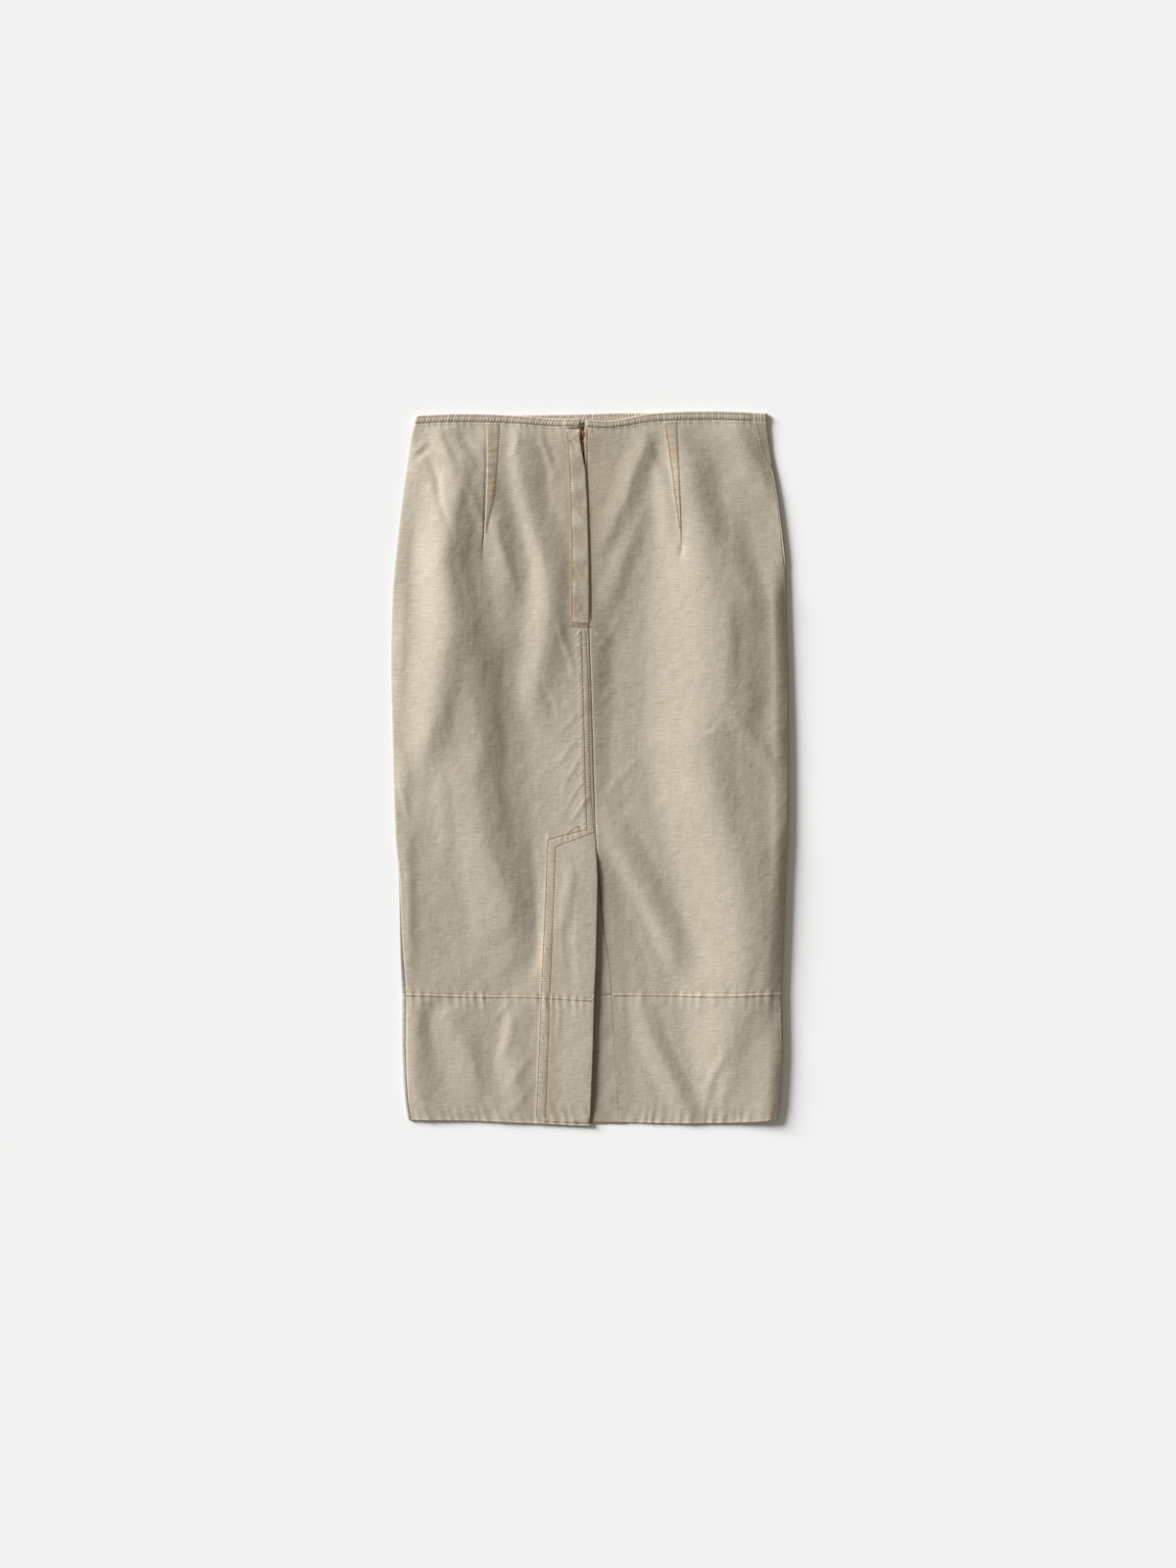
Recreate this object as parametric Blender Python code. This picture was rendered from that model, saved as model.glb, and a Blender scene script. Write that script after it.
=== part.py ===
"""A long fitted skirt in cotton canvas, laid flat with its back side up.

The frame is in metres: +Z up from the surface that it lies on, +Y from the hem to the waist, +X to the right
as seen from above, with the origin under the middle of the skirt. Tables and sizes below are in millimetres.
"""

import math
from collections import namedtuple

import bpy

MM = 0.001

# Driving sizes, in millimetres.
CLOTH = 1.0  # wall of every cloth piece and of the zip's tape
GAP = 0.3  # between pieces, and between layers that lie on each other
PLY = CLOTH + GAP
SEAM_GAP = 0.5  # at a side seam, measured round the turn's outer face
WAIST_LEVEL = 396.0
HEM_LEVEL = -396.0
HEM_SEAM_LEVEL = -254.0
EDGE_RADIUS = 2.6  # outer radius of the turn where back and front meet at the sides
QUARTER_TURN = math.pi * EDGE_RADIUS / 2
EDGE_EASE = 16.0  # how far in from a side turn the back settles to its own height
BINDING_HEIGHT = 11.0
PANEL_TOP = WAIST_LEVEL - PLY - 0.2  # the panels end inside the fold of their binding
TALLEST = 5.9  # of the back above the underside, so that the hollow stays a slit
VENT_TOP = -72.0
ZIP_TOP = 378.0
ZIP_BOTTOM = 182.0
ZIP_MIDDLE = -7.8  # centre line of the zip, left of the middle
CHAIN_WIDTH = 3.8
CHAIN_THICKNESS = 2.2
TAPE_WIDTH = 12.4
PLACKET_LEFT = -21.6
DART_RISE = 0.5
DART_TOP = 384.5  # where a dart's ridge is pressed flat under the binding
SLIDER_LENGTH = 10.0
SLIDER_WIDTH = 5.0
SLIDER_MIDDLE = 374.3
SLIDER_THICKNESS = 1.2  # of the plate that lies on the tapes
BRIDGE_OPENING = 1.9
BRIDGE_THICKNESS = 0.7
TAB_LENGTH = 20.0
TAB_THICKNESS = 0.7
TAB_LIE = 4.0  # degrees that the tab points down from level at rest

# One row for each level of the skirt, from the hem up: how far its side edges stand from the middle, and where
# the side seams run, counted round the turned edge from its outermost line, towards the upper side.
Section = namedtuple("Section", "level left right left_seam right_seam")
SECTIONS = (
    Section(level=-396, left=204.2, right=210.8, left_seam=5.2, right_seam=1.0),
    Section(level=-370, left=207.9, right=213.5, left_seam=5.1, right_seam=0.5),
    Section(level=-320, left=210.6, right=216.1, left_seam=5.4, right_seam=-0.5),
    Section(level=-254, left=211.2, right=215.3, left_seam=6.0, right_seam=-2.2),
    Section(level=-200, left=213.0, right=217.2, left_seam=4.1, right_seam=-3.5),
    Section(level=-125, left=214.5, right=219.9, left_seam=1.5, right_seam=-4.3),
    Section(level=-70, left=218.4, right=222.1, left_seam=-2.0, right_seam=-4.7),
    Section(level=40, left=221.5, right=223.0, left_seam=-4.7, right_seam=-4.7),
    Section(level=120, left=223.0, right=222.2, left_seam=-4.7, right_seam=-4.7),
    Section(level=200, left=221.2, right=220.6, left_seam=-4.7, right_seam=0.0),
    Section(level=240, left=217.5, right=219.4, left_seam=-4.7, right_seam=4.2),
    Section(level=290, left=211.9, right=213.4, left_seam=-4.7, right_seam=3.8),
    Section(level=331, left=206.3, right=207.2, left_seam=-4.7, right_seam=5.1),
    Section(level=350, left=203.4, right=203.8, left_seam=-4.7, right_seam=11.7),
    Section(level=380, left=198.6, right=199.4, left_seam=-4.7, right_seam=15.8),
    Section(level=396, left=194.2, right=198.4, left_seam=-4.7, right_seam=17.9),
)

# Where the inner edge of each back panel stands, by level.
Centre = namedtuple("Centre", "level left right")
CENTRES = (
    Centre(level=-396, left=0.0, right=33.9),
    Centre(level=-320, left=3.2, right=28.2),
    Centre(level=-254, left=4.9, right=24.8),
    Centre(level=-221, left=6.6, right=23.0),
    Centre(level=-172, left=7.7, right=15.5),
    Centre(level=-125, left=8.8, right=9.9),
    Centre(level=-72, left=6.0, right=6.4),
    Centre(level=-18, left=4.3, right=4.7),
    Centre(level=84, left=1.3, right=1.7),
    Centre(level=158, left=-1.2, right=-0.8),
    Centre(level=164, left=-1.6, right=-0.9),
    Centre(level=178, left=-12.0, right=-1.0),
    Centre(level=240, left=-12.0, right=-1.6),
    Centre(level=285, left=-12.0, right=-2.6),
    Centre(level=334, left=-12.0, right=-4.4),
    Centre(level=372, left=-12.0, right=-4.9),
    Centre(level=396, left=-12.0, right=-5.0),
)

# The right edge of the zip's placket, which bows away from the slider and its tab.
PLACKET_RIGHT = ((160, -1.2), (202, -1.6), (251, -2.3), (301, -3.9), (334, -6.1), (354, -9.6), (369, -11.3), (379, -10.8))

# Trims: the height of each layer's waist edge, hem seam and hem edge along its width.
Trim = namedtuple("Trim", "waist seam hem")
BACK = Trim(
    waist=((-194, 395), (-145, 397), (-90, 395.4), (-40, 391.2), (-11, 391), (-2, 390), (21, 389), (40, 391.8), (70, 397.6), (137, 400), (198, 397.7)),
    seam=((-215, -252.2), (-130, -254.6), (-60, -255), (0, -258.5), (5, -253), (110, -253.4), (216, -251.4)),
    hem=((-204, -395.8), (-130, -396.2), (-45, -396.8), (0, -399.6), (6, -395.2), (102, -396.2), (211, -392.8)),
)
FRONT = Trim(
    waist=((-194, 395), (-145, 396.2), (-90, 396), (-20, 396.8), (30, 398.4), (70, 398.2), (137, 399.4), (198, 397.7)),
    seam=((-215, -252.2), (0, -255), (216, -251.4)),
    hem=((-204, -395.6), (0, -395), (211, -392.8)),
)

# The back's largest folds, each a soft ridge along its path, with the reach of its two flanks.
Fold = namedtuple("Fold", "path left right height")
FOLDS = (
    Fold(path=((-152, 352), (-150, 262), (-132, 150), (-112, 70), (-106, -60), (-84, -195)), left=40, right=24, height=3.4),
    Fold(path=((-104, 350), (-88, 246), (-76, 210), (-84, 150)), left=14, right=14, height=1.5),
    Fold(path=((-66, 380), (-52, 246), (-46, 180), (-60, 60)), left=18, right=18, height=2.4),
    Fold(path=((56, 362), (22, 285), (4, 250)), left=13, right=12, height=1.6),
    Fold(path=((54, 268), (26, 215), (8, 174)), left=14, right=14, height=1.4),
    Fold(path=((108, 378), (136, 246), (158, 90), (150, 20), (164, -130), (168, -300), (172, -380)), left=76, right=36, height=3.5),
    Fold(path=((14, -50), (44, -105), (74, -165), (98, -225)), left=20, right=22, height=2.2),
    Fold(path=((60, -256), (76, -300), (98, -355), (112, -392)), left=18, right=16, height=1.8),
    Fold(path=((-150, -20), (-128, -130), (-136, -260), (-128, -380)), left=40, right=30, height=1.8),
)

# Each side's dart, by level: its seam, and the end of the cloth that is pressed under it towards the middle.
Dart = namedtuple("Dart", "level seam inner")
DARTS = {
    -1: (Dart(level=-396, seam=-122.0, inner=-120.0), Dart(262, -118.0, -116.0), Dart(396, -116.8, -100.6)),
    1: (Dart(level=-396, seam=104.0, inner=102.0), Dart(266, 101.5, 99.5), Dart(396, 97.4, 83.0)),
}
DART_TIP = 2.0  # width of a dart's strip at its point, where it has no rise
DART_EDGE = 0.8  # over which the rise comes on at a dart's seam

# Rows of the faceted cloth, from the hem seam up, and columns across a back panel as shares of its width.
PANEL_LEVELS = (
    *(-228, -200, -165, -130, -100, -72, -46, -16, 20, 55, 90, 125, 158),
    *(164, 178, 200, 225, 250, 275, 300, 325, 345, 355, 364, 372, 378),
)
BAND_LEVELS = (-375, -350, -325, -300, -275)
SIDE_SHARES = (0, 0.13, 0.32, 0.54, 0.78)  # from the side turn to the dart
MIDDLE_SHARES = (0.18, 0.36, 0.54, 0.7, 0.85, 1)  # from the dart to the inner edge
FRONT_SHARES = (0.12, 0.3, 0.5)
TURN_STEPS = 4

CANVAS_COLOUR = (0.50, 0.44, 0.33, 1)
SHADED_CANVAS_COLOUR = (0.42, 0.36, 0.27, 1)
TAPE_COLOUR = (0.10, 0.085, 0.065, 1)
BRASS_COLOUR = (0.55, 0.33, 0.16, 1)


def clear_scene():
    for thing in list(bpy.data.objects):
        bpy.data.objects.remove(thing)


def material(name, colour, roughness, metallic=0.0):
    made = bpy.data.materials.new(name)
    made.use_nodes = True
    shader = made.node_tree.nodes["Principled BSDF"]
    shader.inputs["Base Color"].default_value = colour
    shader.inputs["Roughness"].default_value = roughness
    shader.inputs["Metallic"].default_value = metallic
    return made


def ease(value, start, end):
    """0 before start, 1 after end, and smooth between them."""
    share = min(1.0, max(0.0, (value - start) / (end - start)))
    return share * share * (3 - 2 * share)


def along(rows, at, smooth=True):
    """The value at a place along (place, value) rows in rising order: a smooth curve, or straight lines."""
    if at <= rows[0][0]:
        return rows[0][1]
    for i in range(len(rows) - 1):
        (p0, v0), (p1, v1) = rows[i], rows[i + 1]
        if at <= p1:
            share = (at - p0) / (p1 - p0)
            if not smooth:
                return v0 + (v1 - v0) * share
            before, after = rows[max(0, i - 1)], rows[min(len(rows) - 1, i + 2)]
            slope0 = (v1 - before[1]) / (p1 - before[0])
            slope1 = (after[1] - v0) / (after[0] - p0)
            run = p1 - p0
            return (
                (2 * share**3 - 3 * share**2 + 1) * v0
                + (share**3 - 2 * share**2 + share) * run * slope0
                + (3 * share**2 - 2 * share**3) * v1
                + (share**3 - share**2) * run * slope1
            )
    return rows[-1][1]


def column(table, name):
    """One named column of a table, by level."""
    return [(row.level, getattr(row, name)) for row in table]


HALF_WIDTH = {-1: column(SECTIONS, "left"), 1: column(SECTIONS, "right")}
SEAM_ARC = {-1: column(SECTIONS, "left_seam"), 1: column(SECTIONS, "right_seam")}
INNER_EDGE = {-1: column(CENTRES, "left"), 1: column(CENTRES, "right")}


def underside(level):
    """The front's lower face: on the surface, and lifted by the thickness of its binding at the waist."""
    return PLY * ease(level, 350, 378)


def fold_height(x, level):
    total = 0.0
    for fold in FOLDS:
        top, bottom = fold.path[0][1], fold.path[-1][1]
        if not bottom < level < top:
            continue
        crest = along([(y, px) for px, y in reversed(fold.path)], level)
        flank = fold.left if x < crest else fold.right
        away = abs(x - crest) / flank
        if away < 1:
            run = (top - bottom) / 4
            fade = ease(level, bottom, bottom + run) * (1 - ease(level, top - run, top))
            total += fold.height * fade * math.cos(away * math.pi / 2) ** 2
    return total


def dart_columns(side, level):
    """Where the dart's ridge starts, is at its full height, starts to fall and has ended."""
    seam = along(column(DARTS[side], "seam"), level, smooth=False)
    inner = along(column(DARTS[side], "inner"), level, smooth=False)
    return seam, seam - side * DART_EDGE, inner, inner - side * DART_EDGE


def dart_rise(side, x, level):
    seam, full, inner, end = (side * place for place in dart_columns(side, level))
    if level >= DART_TOP:
        return 0.0
    rise = DART_RISE * min(1.0, (seam - inner - DART_TIP) / DART_TIP)
    return along(((end, 0.0), (inner, rise), (full, rise), (seam, 0.0)), side * x, smooth=False)


def resting_height(side, x, level):
    """The height of the back's outer face where it lies on what is under it: the front, and near the middle the
    zip's tapes, the seam's turnings or the layers of the vent."""
    plies = 2.0  # the front and the back
    if side < 0:
        plies += ease(x, -52, -36)
        plies += ease(x, -96, -76) * ease(-level, 46, 70) * (2 - ease(x, -52, -36))
    else:
        plies += 1 - ease(x, 44, 70)
    plies += (5.0 - plies) * ease(level, 290, 378)  # the legs of both bindings lie between the front and the back
    return plies * PLY - GAP


def upper_side(side, x, level, inward):
    """The back's outer face, at this distance in from the side edge."""
    low = underside(level)
    rise = max(resting_height(side, x, level) - low, 2 * PLY - GAP + fold_height(x, level) * (1 - ease(level, 355, 380)))
    rise = min(rise, TALLEST) + dart_rise(side, x, level)
    settled = ease(inward, EDGE_RADIUS, EDGE_RADIUS + EDGE_EASE)
    return low + 2 * EDGE_RADIUS + (rise - 2 * EDGE_RADIUS) * settled


def ring_point(side, arc, level, depth=0.0):
    """A point of the flattened tube at this level: arc is counted round the side's turn from its outermost line,
    above 0 on the upper side, and depth is how far it lies inside the cloth's outer face. Returns (x, z)."""
    half = along(HALF_WIDTH[side], level)
    if arc > QUARTER_TURN:
        inward = EDGE_RADIUS + arc - QUARTER_TURN
        x = side * (half - inward)
        return x, upper_side(side, x, level, inward) - depth
    if arc < -QUARTER_TURN:
        inward = EDGE_RADIUS - arc - QUARTER_TURN
        return side * (half - inward), underside(level) + depth
    angle, radius = arc / EDGE_RADIUS, EDGE_RADIUS - depth
    return (
        side * (half - EDGE_RADIUS + radius * math.cos(angle)),
        underside(level) + EDGE_RADIUS + radius * math.sin(angle),
    )


def trimmed(level, x, trim):
    """A level moved so that the waist edge, the hem seam and the hem follow their own lines."""
    if trim is None:
        return level
    stops = (
        (HEM_LEVEL, along(trim.hem, x)),
        (-320.0, -320.0),
        (HEM_SEAM_LEVEL, along(trim.seam, x)),
        (-200.0, -200.0),
        (340.0, 340.0),
        (WAIST_LEVEL, along(trim.waist, x)),
    )
    return along(stops, level, smooth=False)


def arc_of(side, x, level):
    """The arc of a point on the upper side."""
    return QUARTER_TURN + along(HALF_WIDTH[side], level) - EDGE_RADIUS - side * x


def point(side, arc, level, depth, trim):
    x, z = ring_point(side, arc, level, depth)
    return (x * MM, trimmed(level, x, trim) * MM, z * MM)


def spread(start, end, count):
    return [start + (end - start) * i / (count - 1) for i in range(count)]


def across(side, level, start, end):
    """Arcs over a back panel's flat stretch, with four at the dart."""
    dart = [arc_of(side, x, level) for x in dart_columns(side, level)]
    outer = [start + (dart[0] - start) * share for share in SIDE_SHARES]
    return outer + dart + [dart[-1] + (end - dart[-1]) * share for share in MIDDLE_SHARES]


def back_arcs(side, level):
    """Arcs across a back panel, from its side seam to its inner edge."""
    seam = along(SEAM_ARC[side], level)
    flat_start = max(QUARTER_TURN, seam + 1)
    inner = arc_of(side, along(INNER_EDGE[side], level, smooth=False), level)
    return spread(seam, flat_start, TURN_STEPS + 1)[:-1] + across(side, level, flat_start, inner)


def under_arcs(side, level, start):
    """Arcs on the underside, from this one to the middle."""
    to_middle = along(HALF_WIDTH[side], level) - EDGE_RADIUS + start + QUARTER_TURN
    return [start - to_middle * 2 * share for share in FRONT_SHARES]


def front_places(level):
    """(side, arc) across the front, from the right seam round the underside to the left seam."""
    places = []
    for side in (1, -1):
        seam = along(SEAM_ARC[side], level) - SEAM_GAP
        flat_start = min(-QUARTER_TURN, seam - 1)
        turn = [seam, *spread(min(QUARTER_TURN, seam - 0.3), flat_start, TURN_STEPS + 1)]
        row = [(side, arc) for arc in turn + under_arcs(side, level, flat_start)]
        places.append(row if side > 0 else row[:-1][::-1])
    return places[0] + places[1]


def add_mesh(name, points, faces, finish, smooth=True):
    mesh = bpy.data.meshes.new(name)
    mesh.from_pydata(points, [], faces)
    mesh.validate()
    made = bpy.data.objects.new(name, mesh)
    bpy.context.scene.collection.objects.link(made)
    mesh.materials.append(finish)
    if smooth:
        mesh.shade_smooth()
        mesh.set_sharp_from_angle(angle=math.radians(50))
    return made


def add_wall(name, outer, inner, finish, flip=False):
    """A closed wall between two grids of points, each a list of rows. The outer grid's faces point outwards."""
    rows, across = len(outer), len(outer[0])
    points = [p for row in outer for p in row] + [p for row in inner for p in row]
    shift = rows * across

    def at(i, j):
        return i * across + j

    faces = []
    for i in range(rows - 1):
        for j in range(across - 1):
            a, b, c, d = at(i, j), at(i, j + 1), at(i + 1, j + 1), at(i + 1, j)
            faces.append((a, b, c, d))
            faces.append((d + shift, c + shift, b + shift, a + shift))
    rim = [at(0, j) for j in range(across)]
    rim += [at(i, across - 1) for i in range(1, rows)]
    rim += [at(rows - 1, j) for j in range(across - 2, -1, -1)]
    rim += [at(i, 0) for i in range(rows - 2, 0, -1)]
    for k, a in enumerate(rim):
        b = rim[(k + 1) % len(rim)]
        faces.append((b, a, a + shift, b + shift))
    if flip:
        faces = [face[::-1] for face in faces]
    return add_mesh(name, points, faces, finish)


def add_back(name, side, levels, trim, finish):
    grids = []
    for depth in (0.0, CLOTH):
        grids.append([[point(side, arc, level, depth, trim) for arc in back_arcs(side, level)] for level in levels])
    return add_wall(name, grids[0], grids[1], finish, flip=side > 0)


def add_front(name, levels, trim, finish):
    grids = []
    for depth in (0.0, CLOTH):
        grids.append([[point(s, arc, level, depth, trim) for s, arc in front_places(level)] for level in levels])
    return add_wall(name, grids[0], grids[1], finish)


def add_layer(name, side, levels, span, depths, trim, finish, shares=(0, 0.25, 0.5, 0.75, 1)):
    """A strip on or under a back panel, made from the panel's points moved by the two depths. span gives its left
    and right edges at a level."""
    grids = []
    for depth in depths:
        grid = []
        for level in levels:
            left, right = span(level)
            xs = [left + (right - left) * share for share in shares]
            grid.append([point(side, arc_of(side, x, level), level, depth, trim) for x in xs])
        grids.append(grid)
    return add_wall(name, grids[0], grids[1], finish)


def add_slab(name, levels, span, bottom, finish, thickness=CLOTH, trim=FRONT, shares=(0, 0.5, 1)):
    """A strip that lies flat on the front, from this height above the front's lower face."""
    grids = []
    for height in (bottom + thickness, bottom):
        grid = []
        for level in levels:
            left, right = span(level)
            xs = [left + (right - left) * share for share in shares]
            grid.append([(x * MM, trimmed(level, x, trim) * MM, (underside(level) + height) * MM) for x in xs])
        grids.append(grid)
    return add_wall(name, grids[0], grids[1], finish)


def add_binding(name, places, trim, finish, flip):
    """A strip folded over the waist edge, run through (side, arc) places. Its section is a U round the panel's edge."""
    soft = 0.5
    section = (
        (BINDING_HEIGHT, -PLY),
        (soft, -PLY),
        (0.0, -PLY + soft),
        (0.0, PLY + CLOTH - soft),
        (soft, PLY + CLOTH),
        (BINDING_HEIGHT, PLY + CLOTH),
        (BINDING_HEIGHT, PLY),
        (CLOTH, PLY),
        (CLOTH, -GAP),
        (BINDING_HEIGHT, -GAP),
    )
    points = []
    for side, arc in places:
        for drop, depth in section:
            x, z = ring_point(side, arc, WAIST_LEVEL - drop, depth)
            edge = along(trim.waist, x)
            points.append((x * MM, (edge - drop) * MM, z * MM))
    count = len(section)
    faces = []
    for i in range(len(places) - 1):
        for k in range(count):
            a, b = i * count + k, i * count + (k + 1) % count
            faces.append((a, b, b + count, a + count))
    # The U's two ends are each three flat faces: a leg, the fold and the other leg.
    for start, turned in ((0, False), ((len(places) - 1) * count, True)):
        for cap in ((0, 1, 8, 9), (1, 2, 3, 4, 7, 8), (4, 5, 6, 7)):
            face = tuple(start + k for k in cap)
            faces.append(face if turned else face[::-1])
    if flip:
        faces = [face[::-1] for face in faces]
    return add_mesh(name, points, faces, finish, smooth=False)


def add_block(name, outline, low, high, finish, bevel=0.0):
    """A flat outline, in (x, y), given a thickness from low to high."""
    count = len(outline)
    points = [(x * MM, y * MM, low * MM) for x, y in outline] + [(x * MM, y * MM, high * MM) for x, y in outline]
    faces = [tuple(range(count))[::-1], tuple(range(count, 2 * count))]
    faces += [(i, (i + 1) % count, (i + 1) % count + count, i + count) for i in range(count)]
    made = add_mesh(name, points, faces, finish, smooth=False)
    if bevel:
        rounding = made.modifiers.new("rounding", "BEVEL")
        rounding.width = bevel * MM
        rounding.segments = 1
        rounding.limit_method = "ANGLE"
    return made


def combine(target, pieces, operation):
    """Boolean union with, or difference from, helper pieces that are left out of the model."""
    for piece in pieces:
        boolean = target.modifiers.new(piece.name, "BOOLEAN")
        boolean.operation = operation
        boolean.object = piece
        piece.hide_render = True
        piece.display_type = "WIRE"


def rectangle(x0, x1, y0, y1):
    return ((x0, y0), (x1, y0), (x1, y1), (x0, y1))


def make_cloth(canvas, shaded):
    panel_levels = (HEM_SEAM_LEVEL + GAP / 2, *PANEL_LEVELS, DART_TOP, PANEL_TOP)
    band_levels = (HEM_LEVEL, *BAND_LEVELS, HEM_SEAM_LEVEL - GAP / 2)
    add_front("front_panel", panel_levels, FRONT, canvas)
    add_front("front_hem_band", band_levels, FRONT, canvas)
    for side, word in ((-1, "left"), (1, "right")):
        add_back(f"back_{word}_panel", side, panel_levels, BACK, canvas)
        add_back(f"back_{word}_hem_band", side, band_levels, BACK, canvas)
    vent_levels = [level for level in BAND_LEVELS + PANEL_LEVELS if level < VENT_TOP - 10]
    add_layer(
        "vent_facing",
        -1,
        (HEM_LEVEL + 2, *vent_levels, VENT_TOP - 8),
        lambda level: (-54.0, along(INNER_EDGE[-1], level, smooth=False) - 0.2),
        (PLY, PLY + CLOTH),
        BACK,
        canvas,
        shares=(0, 0.35, 0.7, 1),
    )

    def underlay(level):
        return -46.0, along(INNER_EDGE[1], level) + 6

    add_slab("vent_underlay", spread(HEM_SEAM_LEVEL + GAP / 2, VENT_TOP - 4, 9), underlay, PLY, shaded)
    add_slab("vent_underlay_hem_band", spread(HEM_LEVEL + 1, HEM_SEAM_LEVEL - GAP / 2, 7), underlay, PLY, shaded)


def make_waist(canvas):
    left_seam, right_seam = (along(SEAM_ARC[side], WAIST_LEVEL) for side in (-1, 1))
    left_end, right_end = arc_of(-1, -9.7, WAIST_LEVEL), arc_of(1, -4.6, WAIST_LEVEL)
    turn = spread(left_seam, QUARTER_TURN, TURN_STEPS + 1)[:-1]
    left = [(-1, arc) for arc in turn + across(-1, WAIST_LEVEL, QUARTER_TURN, left_end)]
    add_binding("waist_binding_back_left", left, BACK, canvas, flip=True)
    right = [(1, arc) for arc in [right_seam, *across(1, WAIST_LEVEL, right_seam + 1, right_end)]]
    add_binding("waist_binding_back_right", right, BACK, canvas, flip=False)
    front = [(1, arc) for arc in (right_seam - SEAM_GAP, *spread(QUARTER_TURN, -QUARTER_TURN, TURN_STEPS + 1))]
    front += [(1, arc) for arc in under_arcs(1, WAIST_LEVEL, -QUARTER_TURN)]
    left_end = left_seam - SEAM_GAP
    front += [(-1, arc) for arc in [*under_arcs(-1, WAIST_LEVEL, left_end)[-2::-1], left_end]]
    add_binding("waist_binding_front", front, FRONT, canvas, flip=True)


def make_zip(canvas, tape, brass):
    placket_levels = [level for level in PANEL_LEVELS if level > 160]
    add_layer(
        "zip_placket",
        -1,
        (160, *placket_levels, DART_TOP - 1.2),
        lambda level: (PLACKET_LEFT, along(PLACKET_RIGHT, level)),
        (-PLY, -GAP),
        BACK,
        canvas,
        shares=(0, 0.33, 0.67, 1),
    )
    half = CHAIN_WIDTH / 2
    near, far = half + GAP, half + GAP + TAPE_WIDTH
    slider_low = SLIDER_MIDDLE - SLIDER_LENGTH / 2
    slider_high = SLIDER_MIDDLE + SLIDER_LENGTH / 2
    levels = [level for level in PANEL_LEVELS if ZIP_BOTTOM < level < ZIP_TOP]
    tape_levels = (ZIP_BOTTOM, *levels, ZIP_TOP)
    chain_levels = (ZIP_BOTTOM, *(level for level in levels if level < slider_low - 1), slider_low - GAP)
    for name, left, right in (("left", -far, -near), ("right", near, far)):
        span = (ZIP_MIDDLE + left, ZIP_MIDDLE + right)
        add_slab(f"zip_tape_{name}", tape_levels, lambda level: span, PLY, tape, trim=None)
    span = (ZIP_MIDDLE - half, ZIP_MIDDLE + half)
    add_slab("zip_chain", chain_levels, lambda level: span, PLY, brass, thickness=CHAIN_THICKNESS, trim=None)
    floor = underside(SLIDER_MIDDLE) + PLY
    stop_low = slider_high + GAP
    for name, left, right in (("left", -half, -0.35), ("right", 0.35, half)):
        outline = rectangle(ZIP_MIDDLE + left, ZIP_MIDDLE + right, stop_low, stop_low + 3.2)
        add_block(f"zip_top_stop_{name}", outline, floor + GAP, floor + CHAIN_THICKNESS, brass, bevel=0.2)
    make_slider(floor + PLY, slider_low, slider_high, brass)


def make_slider(floor, low, high, brass):
    """The slider at the top of the closed zip, and its pull tab, whose eye is hung on the slider's bridge."""
    half = SLIDER_WIDTH / 2
    left_side = ((0, high), (-0.7, high - 0.3), (-1, high - 3), (-0.8, low + 4), (-0.72, low))
    shield = [(ZIP_MIDDLE + half * share, y) for share, y in left_side]
    shield += [(ZIP_MIDDLE - half * share, y) for share, y in reversed(left_side[1:])]
    top = floor + SLIDER_THICKNESS
    slider = add_block("zip_slider", shield, floor, top, brass)
    post, half_bar = 1.1, 0.5
    pivot_level = SLIDER_MIDDLE - 0.3
    lower, upper = pivot_level - 1.2 - post, pivot_level + 1.6
    bar_low = top + BRIDGE_OPENING
    bridge = []
    for name, y0, y1, z0 in (
        ("bridge_lower_post", lower, lower + post, top - 0.6),
        ("bridge_upper_post", upper, upper + post, top - 0.6),
        ("bridge_bar", lower, upper + post, bar_low),
    ):
        outline = rectangle(ZIP_MIDDLE - half_bar, ZIP_MIDDLE + half_bar, y0, y1)
        bridge.append(add_block(name, outline, z0, bar_low + BRIDGE_THICKNESS, brass))
    combine(slider, bridge, "UNION")

    # The tab is drawn flat, pointing towards the hem from its pivot, and then laid at its angle.
    cross = TAB_THICKNESS / 2
    left_side = (
        *((-1.15, cross), (-1.4, -1.3), (-1.45, -4.4), (-1.2, -7.0)),
        *((-1.4, -TAB_LENGTH + 1.6), (-0.8, -TAB_LENGTH)),
    )
    outline = list(left_side) + [(-x, y) for x, y in reversed(left_side)]
    tab = add_block("zip_pull_tab", outline, -cross, cross, brass)
    eye = add_block("tab_eye", rectangle(-0.85, 0.85, -3.7, -cross), -2, 2, brass)
    combine(tab, [eye], "DIFFERENCE")
    pivot = bpy.data.objects.new("tab_pivot", None)
    bpy.context.scene.collection.objects.link(pivot)
    pivot.location = (ZIP_MIDDLE * MM, pivot_level * MM, (top + BRIDGE_OPENING / 2) * MM)
    pivot.rotation_euler = (math.radians(TAB_LIE), 0, 0)
    tab.parent = pivot
    eye.parent = pivot


def main():
    clear_scene()
    canvas = material("cotton_canvas", CANVAS_COLOUR, 0.9)
    shaded = material("cotton_canvas_underlay", SHADED_CANVAS_COLOUR, 0.9)
    tape = material("zip_tape_twill", TAPE_COLOUR, 0.85)
    brass = material("zip_brass", BRASS_COLOUR, 0.35, metallic=1.0)
    make_cloth(canvas, shaded)
    make_waist(canvas)
    make_zip(canvas, tape, brass)


main()
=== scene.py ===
import math

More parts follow.
